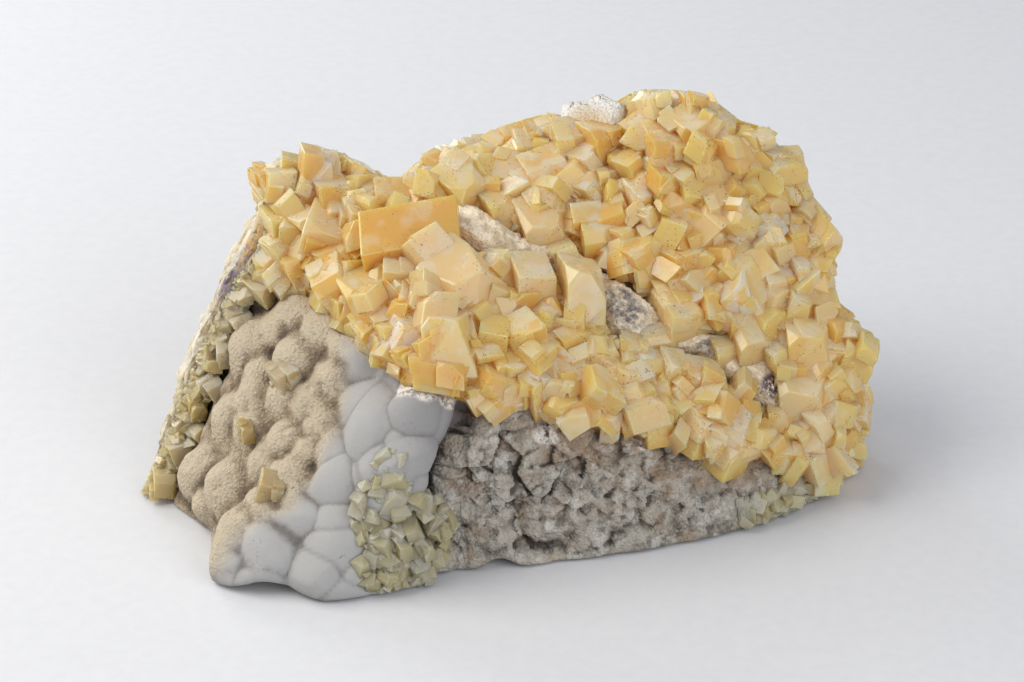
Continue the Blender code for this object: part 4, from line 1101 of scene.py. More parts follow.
@dataclass
class MatrixBlock:
    """The block of stone, with its chalcedony lobes, rubble cliff, bare trough and broken far side."""

    rock: RockForm
    crust: CoverMap
    columns: int = 484
    rows: int = 204
    lobes: tuple[Lobe, ...] = tuple(Lobe(*row) for row in (
        (296, 311, 3.4), (322, 331, 3.5), (250, 347, 3.8), (294, 358, 3.6), (276, 330, 3), (258, 374, 2.8),
        (252, 398, 3.2), (283, 396, 2.8), (309, 403, 3), (332, 380, 3.2), (350, 346, 3.4), (228, 415, 3),
        (247, 424, 2.4), (283, 439, 2.5), (306, 451, 2), (263, 462, 2.5), (196, 472, 3.5), (222, 486, 3.4),
        (286, 478, 3.2), (205, 505, 2.6), (237, 528, 3.4), (263, 504, 3), (227, 550, 2.6), (220, 575, 2.2),
        (298, 504, 3), (273, 537, 3.8), (337, 488, 3.4), (342, 548, 3.4), (306, 567, 3.5), (263, 573, 3.2),
        (332, 590, 2.8), (350, 578, 2.2), (337, 450, 3.1), (375, 424, 4), (400, 450, 4), (421, 424, 3.2),
        (372, 457, 3), (357, 402, 2.8), (365, 476, 2.4), (332, 516, 2.6), (445, 418, 3), (425, 470, 2.8),
        (320, 425, 2.6), (250, 585, 2), (385, 500, 2.8),
    ))
    lobe_spread: float = 1.12
    tan_lobe_height: float = 0.66
    tan_join: float = 1.9
    white_lobe_height: float = 0.48
    white_curve: float = 3.6
    white_join: float = 22.0
    cobble_tilt: float = 0.42
    tilt_seed: int = 8
    cobble_lean: Point = (-0.08, -0.06, -0.12)
    lobes_end: tuple[Pixel, ...] = ((380, 474), (405, 472), (430, 462), (455, 450), (485, 438), (520, 434), (620, 450))
    white_ground: Polygon = (
        (352, 345), (348, 400), (338, 440), (318, 476), (298, 510), (262, 526), (240, 545), (222, 570),
        (200, 585), (200, 625), (480, 625), (490, 380), (410, 372),
    )
    cleft: Polygon = ((468, 408), (452, 448), (436, 482), (432, 512))
    cleft_depth: float = 3.4
    cleft_half_width: float = 1.7
    broken_band: Polygon = (
        (505, 415), (560, 420), (640, 430), (700, 450), (760, 460), (770, 485), (700, 490), (640, 478),
        (560, 466), (510, 450),
    )
    patches: tuple[tuple[str, Lobe], ...] = (
        ("quartz", Lobe(622, 312, 3.4)), ("quartz", Lobe(610, 272, 1.6)), ("quartz", Lobe(700, 352, 1.8)),
        ("violet", Lobe(770, 388, 3.0)), ("rust", Lobe(715, 430, 1.6)), ("chalk", Lobe(727, 446, 1.5)),
        ("chalk", Lobe(722, 458, 1.3)), ("chalk", Lobe(405, 388, 2.0)), ("chalk", Lobe(425, 394, 1.8)),
        ("chalk", Lobe(448, 400, 1.8)), ("chalk", Lobe(548, 432, 1.8)), ("rust", Lobe(480, 408, 1.0)),
        ("chalk", Lobe(648, 446, 1.4)), ("violet", Lobe(352, 300, 1.4)),
    )

    def _grid_directions(self) -> Array:
        """Directions from the heart: turns and tilts crowded where the bare front is.

        Each parameter's samples are spaced by the inverse of a weight, which is raised by a bell curve over the
        front and over the slope; the direction is then (cos a sin t, sin a sin t, cos t).

        Returns:
            Unit vectors, shape (rows, columns, 3).
        """
        turn = np.linspace(-math.pi, math.pi, 4001)
        weight = 1.0 + 3.2 * np.exp(-(((turn + 1.75) / 0.95) ** 2))
        total = np.concatenate([[0.0], np.cumsum(0.5 * (weight[1:] + weight[:-1]))])
        turns = np.interp(np.arange(self.columns) / self.columns * total[-1], total, turn)
        tilt = np.linspace(0.0, math.pi, 2001)
        weight = 0.7 + 1.6 * np.exp(-(((tilt - 1.45) / 0.55) ** 2))
        total = np.concatenate([[0.0], np.cumsum(0.5 * (weight[1:] + weight[:-1]))])
        tilts = np.interp((np.arange(self.rows) + 0.5) / self.rows * total[-1], total, tilt)
        a, t = np.meshgrid(turns, tilts)
        return np.stack([np.cos(a) * np.sin(t), np.sin(a) * np.sin(t), np.cos(t)], axis=-1)

    def _cobbles(self, points: Array) -> Array:
        """Height of each white cobble over each point: a paraboloid, h r - d^2 / (c r), on a tilted plane.

        Args:
            points: Places on the bare block.

        Returns:
            Heights in millimetres, one row for each lobe.
        """
        random = np.random.default_rng(self.tilt_seed)
        rows = []
        for centre, lobe in zip(self._lobe_centres(), self.lobes):
            away = points - centre
            tilt = random.uniform(-1.0, 1.0, 3) * self.cobble_tilt + self.cobble_lean
            squared = (away**2).sum(axis=1)
            rows.append(self.white_lobe_height * lobe.radius - squared / (self.white_curve * lobe.radius)
                        + np.clip(away @ tilt, -0.9, 0.9))
        return np.array(rows)

    def _lobe_relief(self, points: Array, white: Array, cobbles: Array) -> Array:
        """Height of the lobes: a smooth greatest of domes, log(sum(exp(k h))) / k, sharper where it is white.

        Args:
            points: Places on the bare block.
            white: Share of white ground at each.
            cobbles: Heights of the white cobbles there.

        Returns:
            Heights in millimetres.
        """
        tan_sum = np.full(len(points), 0.35)
        for centre, lobe in zip(self._lobe_centres(), self.lobes):
            squared = ((points - centre) ** 2).sum(axis=1)
            dome = self.tan_lobe_height * lobe.radius * (1.0 - squared / (self.lobe_spread * lobe.radius) ** 2)
            tan_sum += np.exp(self.tan_join * np.maximum(dome, -3.0))
        white_sum = 1e-3 + np.exp(self.white_join * np.maximum(cobbles, -1.2)).sum(axis=0)
        return np.log(tan_sum) / self.tan_join * (1 - white) + (np.log(white_sum) / self.white_join + 0.2) * white

    def _lobe_centres(self) -> Array:
        """Places of the lobes on the bare block."""
        return self.rock.from_view([l.px for l in self.lobes], [l.py for l in self.lobes])

    def _lobed_share(self, px: Array, py: Array) -> Array:
        """One to the left of the line where the lobes break off, and zero to its right."""
        rows = [corner[0] for corner in self.lobes_end]
        edge = np.interp(py, rows, [corner[1] for corner in self.lobes_end])
        return 1.0 - smooth_step(px, edge - 5.0, edge + 5.0)

    def on_relief(self, px: Iterable[float], py: Iterable[float], lift: Array | float = 0.0) -> Array:
        """Places seen at pixels, on the block's lobed surface grown by lift.

        Args:
            px: Pixel columns.
            py: Pixel rows.
            lift: How far outside it, in millimetres.

        Returns:
            Points in millimetres.
        """
        px, py = np.asarray(px, float), np.asarray(py, float)
        bare = self.rock.from_view(px, py)
        view = self.rock.view
        white = smooth_step(-view.polygon_gap(px, py, self.white_ground), -1.6, 1.6)
        lobed = self._lobed_share(px, py) * smooth_step(-view.polygon_gap(px, py, self.crust.bare_front), -0.6, 0.4)
        relief = (self._lobe_relief(bare, white, self._cobbles(bare)) - 0.5) * lobed
        return self.rock.from_view(px, py, np.maximum(relief, -0.3) + lift)

    def _small_domes(self, points: Array, cell: float, seed: int, reach: float = 0.95) -> Array:
        """Small domes that meet in creases: sqrt(1 - (d / reach)^2) of the distance d to the nearest seed."""
        nearest = cell_field(points, cell, seed).nearest
        return cell * np.sqrt(np.clip(1.0 - (nearest / reach) ** 2, 0.0, None))

    def _cleft_relief(self, points: Array) -> Array:
        """The dark cleft beside the white lobes: a bell curve of the distance from its path, as a fall."""
        path = self.rock.from_view([p[0] for p in self.cleft], [p[1] for p in self.cleft])
        fall = np.zeros(len(points))
        for start, end in zip(path[:-1], path[1:]):
            along = end - start
            share = np.clip(((points - start) @ along) / (along @ along), 0.0, 1.0)
            gap = np.linalg.norm(points - start - share[:, None] * along, axis=1)
            fall = np.maximum(fall, self.cleft_depth * np.exp(-((gap / self.cleft_half_width) ** 2)))
        return -fall

    def build(self) -> bpy.types.Object:
        """Works out the surface and what is stored on it.

        Each point is the bare form's surface point moved along its normal by the relief of its kind of ground.

        Returns:
            The piece.
        """
        view = self.rock.view
        grid = self._grid_directions()
        bare = self.rock.from_heart(grid.reshape(-1, 3))
        normals = self.rock.normals(bare)
        px, py = view.pixels(bare)
        facing = smooth_step(normals @ view.back, -0.25, 0.0)
        front = facing * (1.0 - smooth_step(bare[:, 1], 6.0, 9.0))
        cover = self.crust.cover(bare, normals)
        crusted = smooth_step(cover, -0.2, 0.9)
        in_front = smooth_step(-view.polygon_gap(px, py, self.crust.bare_front), -0.6, 0.4) * front
        lobed = in_front * self._lobed_share(px, py)
        white = smooth_step(-view.polygon_gap(px, py, self.white_ground), -1.6, 1.6)
        trough = smooth_step(-view.polygon_gap(px, py, self.crust.bare_trough), -0.8, 0.2) * facing
        trough = np.maximum(trough, smooth_step(-view.polygon_gap(px, py, self.crust.bare_cap), -0.8, 0.2))
        trough = np.maximum(trough, smooth_step(-view.polygon_gap(px, py, self.crust.bare_hollow), -0.8, 0.2))
        trough = trough * (1.0 - in_front) * facing
        far = smooth_step(bare[:, 1], -2.0, 10.0) * (1.0 - trough)

        warp = np.stack([layered_noise(bare, 3.0, 201 + axis, 3) for axis in range(3)], axis=1)
        rubble = cell_field(bare + 0.5 * warp, 4.8, 3)
        pebbles = self._small_domes(bare + 0.8 * warp, 2.3, 51)
        broken = 1.5 * rubble.facet + 0.12 * pebbles + 0.45 * layered_noise(bare, 2.6, 17, 5) - 0.5
        cobbled = 0.46 * self._small_domes(bare + 0.4 * warp, 4.6, 53) + 0.14 * pebbles
        cobbled += 0.35 * layered_noise(bare, 3.0, 19, 5) - 1.6
        low = 1.0 - smooth_step(bare[:, 2] + 2.5 * value_noise(bare, 6.0, 21), 8.0, 12.0)
        cliff_relief = broken * (1 - low) + cobbled * low + 0.62 * cell_field(bare + 0.25 * warp, 1.9, 57).facet
        blocks = cell_field(bare + 2.0 * warp, 11.0, 23)
        far_relief = 1.5 * blocks.facet + 1.1 * layered_noise(bare, 6.0, 31, 4) - 0.4
        far_relief += 0.7 * cell_field(bare + 0.5 * warp, 3.4, 37).facet + 0.30 * layered_noise(bare, 1.8, 39, 3)
        steep = np.clip(1.25 - np.abs(normals[:, 2]) * 1.3, 0.0, 1.0)
        rock_relief = steep * (cliff_relief * (1 - far) + far_relief * far) - 0.4
        cobbles = self._cobbles(bare)
        lobe_relief = self._lobe_relief(bare, white, cobbles) - 0.5
        lobe_relief += 0.18 * self._small_domes(bare, 2.3, 71) * (1.0 - white)
        lobe_relief += (0.24 - 0.20 * white) * layered_noise(bare, 1.1, 83, 3)
        lobe_relief += 0.35 * layered_noise(bare, 6.0, 85, 2) * white
        highest = np.partition(cobbles, -2, axis=0)[-2:]
        crease = (1.0 - smooth_step(highest[1] - highest[0], 0.0, 0.30)) * white
        lobe_relief -= 0.05 * crease
        trough_relief = 0.30 * self._small_domes(bare + 0.7 * warp, 3.4, 91) + 0.5
        trough_relief += 0.7 * layered_noise(bare, 2.4, 97, 5)
        relief = rock_relief * (1 - lobed) + lobe_relief * lobed
        relief = relief * (1 - trough) + trough_relief * trough
        under = self.crust.bed(cover) - 0.5 + 0.6 * layered_noise(bare, 2.0, 41, 4)
        relief = relief * (1 - crusted) + under * crusted
        relief += front * (bare[:, 1] < -5.0) * self._cleft_relief(bare)
        off_table = np.clip((bare[:, 2] - self.rock.foot_height(bare[:, 0], bare[:, 1])) / 2.2, 0.0, 1.0)
        relief *= off_table
        points = bare + normals * relief[:, None]
        past = view.polygon_gap(*view.pixels(points), self.crust.specimen_outline) + 0.7
        points += unit(np.array(self.rock.heart) - points) * (np.clip(past, 0.0, 4.0) * crusted)[:, None]
        points[:, 2] = np.maximum(points[:, 2], 0.0)

        rings = points.reshape(self.rows, self.columns, 3)
        mesh = globe_mesh("matrix_block", rings)
        # The cavity mark darkens the stone's hollows in its finish as painted shade, less on the far side.
        self._store(mesh, "cavity", self._cavity(relief) * (1.0 - 0.5 * smooth_step(bare[:, 1], 2.0, 14.0)))
        cliff = in_front * (1 - lobed) + (1 - far) * (1 - in_front)
        stored = {"lobed": lobed, "white": white, "cliff": cliff, "trough": trough, "crusted": crusted * (1 - lobed)}
        band = smooth_step(-view.polygon_gap(px, py, self.broken_band), -1.2, 0.8) * in_front
        stored["band"] = band
        # The crease mark also darkens the white cobbles' creases in the finish, as painted shade.
        stored["crease"] = crease * lobed
        # Where the white lobes turn to the right: painted shade.
        stored["dusk"] = smooth_step(px - 0.25 * (py - 400.0), 345.0, 455.0) * lobed
        stored["cap"] = smooth_step(-view.polygon_gap(px, py, self.crust.bare_cap), -1.5, 0.2)
        for name, patch in self.patches:
            centre = self.rock.from_view([patch.px], [patch.py])[0]
            gap = np.linalg.norm(bare - centre, axis=1) + 0.8 * value_noise(bare, 1.5, 61)
            share = 1.0 - smooth_step(gap, 0.55 * patch.radius, patch.radius)
            stored[name] = np.maximum(stored.get(name, 0.0), share)
        for name, values in stored.items():
            self._store(mesh, name, values)
        mesh.shade_smooth()
        return new_piece("matrix_block", mesh, "matrix")

    def _cavity(self, relief: Array) -> Array:
        """How far each point stands above or below its neighbourhood: relief less its mean over a square."""
        grid = relief.reshape(self.rows, self.columns)
        reach = 5
        mean = np.zeros_like(grid)
        for shift in range(-reach, reach + 1):
            mean += np.roll(grid, shift, axis=1)
        rows = np.pad(mean / (2 * reach + 1), ((reach, reach), (0, 0)), mode="edge")
        mean = np.zeros_like(grid)
        for shift in range(2 * reach + 1):
            mean += rows[shift:shift + self.rows]
        return np.clip((grid - mean / (2 * reach + 1)) / 0.55, -1.0, 1.0).ravel()

    def _store(self, mesh: bpy.types.Mesh, name: str, values: Array) -> None:
        """Stores a value for each grid point, and the mean of the end rows at the poles."""
        ends = [values[: self.columns].mean(), values[-self.columns:].mean()]
        add_attribute(mesh, name, "POINT", np.concatenate([values, ends]))

    def dress(self, piece: bpy.types.Object, effects: SharedEffects) -> None:
        """Gives the piece its finish."""
        piece.data.materials.append(StoneFinish().build(effects))


class Habit(Enum):
    """Shapes that the rhombs grow to."""

    PLAIN = 0
    BLUNT_TIP = 1
    CUT_EDGE = 2
    POINTED = 3
    GABLED = 4
    GRAIN = 5


@dataclass(frozen=True)
class RhombForms:
    """Unit rhombs, one for each habit, as points before the shear and faces."""

    chamfer: float = 0.018
    shear: float = -0.104

    def shear_matrix(self) -> Array:
        """Pushes a cube together along one diagonal, which gives calcite's corners of about 102 degrees."""
        return np.where(np.eye(3, dtype=bool), 1.0, self.shear)

    def template(self, habit: Habit) -> tuple[Array, list[tuple[int, ...]]]:
        """A cube cut by the habit's planes, with narrow chamfers.

        Args:
            habit: Which shape.

        Returns:
            Points of the unit crystal and the corners of each face.
        """
        cuts = {
            Habit.BLUNT_TIP: (((1, 1, 1), 1.08), ((-1, 1, 1), 1.20)),
            Habit.CUT_EDGE: (((0, 1, 1), 0.76), ((1, 0, 1), 0.88)),
            Habit.POINTED: (((1, 0.25, 0.45), 0.60), ((-0.35, 0.3, 1), 0.58), ((-1, 1, 0.2), 0.86)),
            Habit.GABLED: (((1, 1, 0), 0.74), ((-1, 1, 0), 0.82), ((1, 1, 1), 1.16)),
        }
        shape = bmesh.new()
        bmesh.ops.create_cube(shape, size=1.0)
        for normal, reach in cuts.get(habit, ()):
            direction = Vector(normal).normalized()
            place = direction * (reach / Vector(normal).length)
            geometry = shape.verts[:] + shape.edges[:] + shape.faces[:]
            cut = bmesh.ops.bisect_plane(shape, geom=geometry, dist=1e-6, plane_co=place, plane_no=direction,
                                         clear_outer=True)
            rim = [part for part in cut["geom_cut"] if isinstance(part, bmesh.types.BMEdge)]
            if rim:
                bmesh.ops.holes_fill(shape, edges=rim)
        if habit is not Habit.GRAIN:
            bmesh.ops.bevel(shape, geom=shape.edges[:], offset=self.chamfer, segments=1, affect="EDGES")
        bmesh.ops.recalc_face_normals(shape, faces=shape.faces[:])
        points = np.array([corner.co[:] for corner in shape.verts])
        faces = [tuple(corner.index for corner in face.verts) for face in shape.faces]
        shape.free()
        return points, faces


class Crystal(NamedTuple):
    """A calcite rhomb: its centre in the picture, in pixels, its width and height in millimetres, and its turns."""

    px: float
    py: float
    width: float
    height: float
    roll: float = 0.0
    nod: float = 32.0
    turn: float = 28.0
    depth: float = 0.0


class Grown(NamedTuple):
    """A crystal of a heap: its middle, its axes at full length, its habit's number, its looks and its growth."""

    centre: Array
    axes: Array
    habit: int
    tone: float
    shade: float
    outward: Array
    young: bool = False


@dataclass
class CrystalHeap:
    """Crystals gathered one after another, then grown together into one solid."""

    rock: RockForm
    forms: RhombForms
    crystals: list[Grown] = field(default_factory=list)
    young_shares: Span = (0.38, 0.74)
    young_odds: tuple[float, ...] = (0.5, 0.15, 0.15, 0.1, 0.1)
    young_stray_degrees: float = 7.0
    lattice_spread: float = 37.0

    def add(self, centre: Array, turned: Array, size: Array, habit: Habit, tone: float, shade: float,
            outward: Array) -> None:
        """Adds one crystal.

        Args:
            centre: Its middle, in millimetres.
            turned: Its three directions as columns, before the shear.
            size: Its three lengths in millimetres.
            habit: Its shape.
            tone: A number from 0 to 1 that sets its lightness.
            shade: Its share of lemon against honey.
            outward: The direction that it grew in.
        """
        axes = turned @ self.forms.shear_matrix() * size[None, :]
        self.crystals.append(Grown(centre, axes, habit.value, tone, shade, outward))

    def add_young(self, count: int, random: np.random.Generator) -> None:
        """Adds younger crystals on the last one, nearly parallel to it and standing a little out of its faces.

        Args:
            count: How many.
            random: Draws their sizes, places and turns.
        """
        parent = self.crystals[-1]
        for _ in range(count):
            share = random.uniform(*self.young_shares)
            proud = random.uniform(0.0, 0.13, 3) * (random.random(3) < 0.75)
            side = np.sign(parent.axes.T @ parent.outward) * np.where(random.random(3) < 0.8, 1.0, -1.0)
            place = parent.centre + parent.axes @ (side * (0.5 - 0.5 * share + proud))
            astray = Euler(np.radians(random.uniform(-1.0, 1.0, 3) * self.young_stray_degrees)).to_matrix()
            axes = np.array(astray) @ parent.axes * (share * random.uniform(0.8, 1.25, 3))[None, :]
            habit = int(random.choice(5, p=self.young_odds))
            tone = float(np.clip(parent.tone + random.uniform(-0.06, 0.06), 0.0, 1.0))
            self.crystals.append(Grown(place, axes, habit, tone, parent.shade, parent.outward, True))

    def _pixels(self) -> tuple[Array, Array]:
        """Where the crystals' middles fall in the picture."""
        return self.rock.view.pixels(np.array([crystal.centre for crystal in self.crystals]))

    def retone(self, zones: Iterable["ShadeZone"]) -> None:
        """Gives crystals whose middles show inside a zone that zone's tone."""
        px, py = self._pixels()
        for zone in zones:
            for number in np.flatnonzero(np.hypot(px - zone.px, py - zone.py) < zone.reach):
                self.crystals[number] = self.crystals[number]._replace(tone=zone.share)

    def clear_young(self, bare: Iterable[Polygon], margin: float = 0.8) -> None:
        """Takes away younger crystals whose middles show on bare ground, or nearer to it than a margin."""
        px, py = self._pixels()
        gap = np.min([self.rock.view.polygon_gap(px, py, outline) for outline in bare], axis=0)
        self.crystals = [one for one, near in zip(self.crystals, gap < margin) if not (one.young and near)]

    def draw_in(self, outline: Polygon, allowance: float = 0.2) -> None:
        """Sinks crystals that show past the specimen's outline, and lifts any that reach below the table.

        Each goes towards the heart by as much as its corners pass the outline, three times over.

        Args:
            outline: The outline in the picture.
            allowance: How far a corner may pass it, in millimetres.
        """
        middle, axes = (np.array(column) for column in list(zip(*self.crystals))[:2])
        ends = np.array(list(np.ndindex(2, 2, 2))) - 0.5
        arms = np.einsum("nij,vj->nvi", axes, ends)
        for _ in range(3):
            px, py = self.rock.view.pixels((middle[:, None] + arms).reshape(-1, 3))
            past = self.rock.view.polygon_gap(px, py, outline).reshape(len(middle), len(ends)).max(axis=1)
            middle += unit(np.array(self.rock.heart) - middle) * np.clip(past - allowance, 0.0, None)[:, None]
        lowest = (middle[:, None] + arms)[..., 2].min(axis=1)
        middle[:, 2] += np.clip(0.05 - lowest, 0.0, None)
        self.crystals = [one._replace(centre=place) for one, place in zip(self.crystals, middle)]

    def loose_mesh(self, name: str) -> bpy.types.Mesh:
        """All crystals in one mesh, still overlapping: each point is the centre plus the axes times the unit point.

        Args:
            name: The mesh's name.

        Returns:
            The mesh, with each crystal's tone and shade on its faces, and on their corners the place in its own
            lattice, the rise along its growth and the height above the block.
        """
        centres, axes, habits, tones, shades, outward, _ = (np.array(column) for column in zip(*self.crystals))
        sizes = np.linalg.norm(axes, axis=1)
        parts: dict[str, list[Array]] = {}
        offset = 0
        for habit in Habit:
            chosen = np.flatnonzero(habits == habit.value)
            if not len(chosen):
                continue
            unit_points, faces = self.forms.template(habit)
            points = np.einsum("nij,vj->nvi", axes[chosen], unit_points) + centres[chosen, None]
            corner_list = np.concatenate([np.array(face) for face in faces])
            lattice = unit_points[None] * sizes[chosen, None, :] + self.lattice_spread * tones[chosen, None, None]
            reach = sizes[chosen].mean(axis=1)[:, None]
            rise = np.einsum("nvi,ni->nv", points - centres[chosen, None], outward[chosen]) / reach + 0.5
            stand = -self.rock.depth(points)
            shifts = offset + np.arange(len(chosen)) * len(unit_points)
            batch = {
                "points": points.reshape(-1, 3),
                "corners": (corner_list[None] + shifts[:, None]).ravel(),
                "sizes": np.tile([len(face) for face in faces], len(chosen)),
                "crystal": np.repeat(chosen, len(faces)).astype(np.int32),
                "tone": np.repeat(tones[chosen], len(faces)),
                "shade": np.repeat(shades[chosen], len(faces)),
                "lattice": lattice[:, corner_list].reshape(-1, 3) * MM,
                "rise": rise[:, corner_list].ravel(),
                "stand": stand[:, corner_list].ravel(),
            }
            for key, values in batch.items():
                parts.setdefault(key, []).append(values)
            offset += len(batch["points"])
        whole = {key: np.concatenate(value) for key, value in parts.items()}
        mesh = mesh_from_arrays(name, whole["points"], whole["corners"], whole["sizes"])
        for key in ("crystal", "tone", "shade"):
            add_attribute(mesh, key, "FACE", whole[key])
        for key in ("lattice", "rise", "stand"):
            add_attribute(mesh, key, "CORNER", whole[key])
        return mesh

    def grown_mesh(self, name: str) -> bpy.types.Mesh:
        """The crystals united into one closed surface.

        Args:
            name: The mesh's name.

        Returns:
            The mesh.
        """
        group = bpy.data.node_groups.new("grown_together", "GeometryNodeTree")
        group.interface.new_socket("Geometry", in_out="INPUT", socket_type="NodeSocketGeometry")
        group.interface.new_socket("Geometry", in_out="OUTPUT", socket_type="NodeSocketGeometry")
        entry, leave = group.nodes.new("NodeGroupInput"), group.nodes.new("NodeGroupOutput")
        parted = group.nodes.new("GeometryNodeSplitToInstances")
        parted.domain = "FACE"
        number = group.nodes.new("GeometryNodeInputNamedAttribute")
        number.data_type = "INT"
        number.inputs["Name"].default_value = "crystal"
        union = group.nodes.new("GeometryNodeMeshBoolean")
        union.operation = "UNION"
        union.solver = "MANIFOLD"
        group.links.new(entry.outputs[0], parted.inputs[0])
        group.links.new([socket for socket in number.outputs if socket.enabled][0], parted.inputs["Group ID"])
        group.links.new(parted.outputs[0], union.inputs["Mesh 2"])
        group.links.new(union.outputs["Mesh"], leave.inputs[0])
        source = bpy.data.objects.new(name + "_loose", self.loose_mesh(name + "_loose"))
        bpy.context.scene.collection.objects.link(source)
        source.modifiers.new("grown_together", "NODES").node_group = group
        bpy.context.view_layer.update()
        graph = bpy.context.evaluated_depsgraph_get()
        mesh = bpy.data.meshes.new_from_object(source.evaluated_get(graph))
        mesh.name = name
        mesh.shade_flat()
        bpy.data.objects.remove(source)
        bpy.data.node_groups.remove(group)
        return mesh


class ShadeZone(NamedTuple):
    """Where crystals are lemon rather than honey: a centre and reach in pixels, and how strongly."""

    px: float
    py: float
    reach: float
    share: float


@dataclass(frozen=True)
class CrystalSetter:
    """Turns crystals that are stated in the picture, or drawn at random, into places and directions."""

    rock: RockForm
    lift_share: float = 0.28
    scale: float = 0.92
    jitter_degrees: float = 14.0
    young: int = 2
    no_young_above: float = 7.2
    stretch: float = 1.0
    habit_odds: tuple[float, ...] = (0.18, 0.24, 0.22, 0.20, 0.16)
    rest_share: float = 0.66
    depth_range: Span = (0.85, 1.25)
    size_range: Span = (0.86, 1.14)
    litter_range: Span = (0.70, 1.30)
    lift_range: Span = (0.2, 1.7)
    table_share: float = 0.8
    zone_noise: float = 0.22
    lemon_zones: tuple[ShadeZone, ...] = tuple(ShadeZone(*row) for row in (
        (292, 168, 62, 1), (400, 198, 46, 0.6), (480, 150, 64, 0.55), (650, 104, 50, 0.7), (690, 382, 58, 0.6),
        (826, 474, 62, 0.7), (606, 360, 36, 0.5), (440, 300, 40, 0.3), (175, 440, 70, 0.9), (266, 430, 62, 0.8),
    ))

    def shade(self, points: Array) -> Array:
        """Share of lemon at places: the strongest zone's bell curve, with a little noise."""
        px, py = self.rock.view.pixels(points)
        share = np.zeros(len(points))
        for zone in self.lemon_zones:
            share = np.maximum(share, zone.share * np.exp(-((px - zone.px) ** 2 + (py - zone.py) ** 2) / zone.reach**2))
        return np.clip(share + self.zone_noise * value_noise(points, 6.0, 5), 0.0, 1.0)

    def turned_in_view(self, crystal: Crystal, random: np.random.Generator) -> Array:
        """Directions of a crystal turned in the view's own axes: turn, then nod, then roll, each a little astray."""
        astray = random.uniform(-1.0, 1.0, 3) * self.jitter_degrees * np.array((0.4, 1.0, 1.0))
        roll, nod, turn = np.radians(np.array((crystal.roll, crystal.nod, crystal.turn)) + astray)
        turns = Matrix.Rotation(roll, 3, "Z") @ Matrix.Rotation(nod, 3, "X") @ Matrix.Rotation(turn, 3, "Y")
        view = self.rock.view
        return np.stack([view.right, view.up, view.back], axis=1) @ np.array(turns)

    def set_stated(self, heap: CrystalHeap, crystals: Iterable[Crystal], random: np.random.Generator,
                   centres: Array | None = None) -> Array:
        """Adds crystals that are stated in the picture.

        Args:
            heap: Where they go.
            crystals: The crystals.
            random: Draws their depth, habit and tone.
            centres: Their middles, where they don't sit on the block.

        Returns:
            Their middles.
        """
        stated = list(crystals)
        small = np.array([min(crystal.width, crystal.height) for crystal in stated])
        if centres is None:
            centres = self.rock.from_view([c.px for c in stated], [c.py for c in stated], self.lift_share * small)
        centres[:, 2] = np.maximum(centres[:, 2], self.rest_share * small)
        normals, shades = self.rock.normals(centres), self.shade(centres)
        for crystal, place, normal, shade in zip(stated, centres, normals, shades):
            depth = crystal.depth or 0.5 * (crystal.width + crystal.height)
            size = self.scale * np.array((crystal.width, crystal.height, depth))
            size[2] *= random.uniform(*self.depth_range)
            habit = Habit(int(random.choice(5, p=self.habit_odds)))
            outward = unit(0.6 * normal + np.array((0.0, -0.2, 0.8)))
            size = size * random.uniform(*self.size_range, 3)
            heap.add(place, self.turned_in_view(crystal, random), size, habit, float(random.random()), shade, outward)
            if max(crystal.width, crystal.height) < self.no_young_above:
                heap.add_young(self.young, random)
        return centres

    @staticmethod
    def turned_at_random(outward: Array, random: np.random.Generator, sway: float) -> Array:
        """Directions of a crystal that stands on a face, an edge or a corner, swayed from the outward direction.

        Args:
            outward: The direction that it grows in.
            random: Draws the turn.
            sway: Most sideways lean, as the tangent of its angle.

        Returns:
            Three unit directions as columns.
        """
        stance = random.integers(3)
        rest = (Matrix.Identity(3), Euler((math.radians(45), 0, 0)).to_matrix(),
                Euler((math.radians(45), math.radians(-35.3), 0)).to_matrix())[stance]
        lean = unit(outward + sway * random.uniform(-1.0, 1.0, 3))
        across = unit(np.cross(lean, (0.0, 0.0, 1.0) if abs(lean[2]) < 0.9 else (1.0, 0.0, 0.0)))
        basis = np.stack([across, np.cross(lean, across), lean], axis=1)
        spin = Matrix.Rotation(random.uniform(0.0, math.tau), 3, "Z")
        return basis @ np.array(spin) @ np.array(rest)

    def scatter(self, heap: CrystalHeap, litter: "Litter", points: Array, normals: Array, taken: "Taken",
                random: np.random.Generator, bed: Array | None = None) -> int:
        """Adds crystals of one batch at the first candidate places that no crystal has taken.

        Args:
            heap: Where they go.
            litter: The batch.
            points: Candidate places on the surface.
            normals: Its outward normals there.
            taken: Places that crystals have, which new ones are added to.
            random: Draws sizes, turns, habits and tones.
            bed: How far the ground is raised at each place, if it is.

        Returns:
            How many were set.
        """
        if bed is not None:
            points = points + normals * bed[:, None]
        sizes = random.uniform(litter.smallest, litter.largest, len(points))
        shades = self.shade(points)
        placed = 0
        for point, normal, size, shade in zip(points, normals, sizes, shades):
            if placed == litter.count:
                break
            if not taken.free(point, 0.5 * size, litter.closeness):
                continue
            outward = unit(normal + np.array((0.0, 0.0, 0.25)))
            place = point + normal * (litter.lift_share * size * random.uniform(*self.lift_range))
            if place[2] < self.table_share * size:
                continue
            plain = size < litter.grain_below
            habit = Habit.GRAIN if plain else Habit(int(random.choice(5, p=self.habit_odds)))
            lengths = size * random.uniform(*self.litter_range, 3) * np.array((1.0, 1.0, self.stretch))
            heap.add(place, self.turned_at_random(outward, random, litter.sway), lengths, habit,
                     float(random.random()), shade, outward)
            if size > litter.young_above:
                heap.add_young(1, random)
            taken.add(place, 0.5 * size)
            placed += 1
        return placed


class Litter(NamedTuple):
    """A batch of crystals scattered between the stated ones: how many, their sizes and how they stand."""

    count: int
    smallest: float
    largest: float
    closeness: float
    lift_share: float
    sway: float
    grain_below: float = 1.8
    young_above: float = 9.0


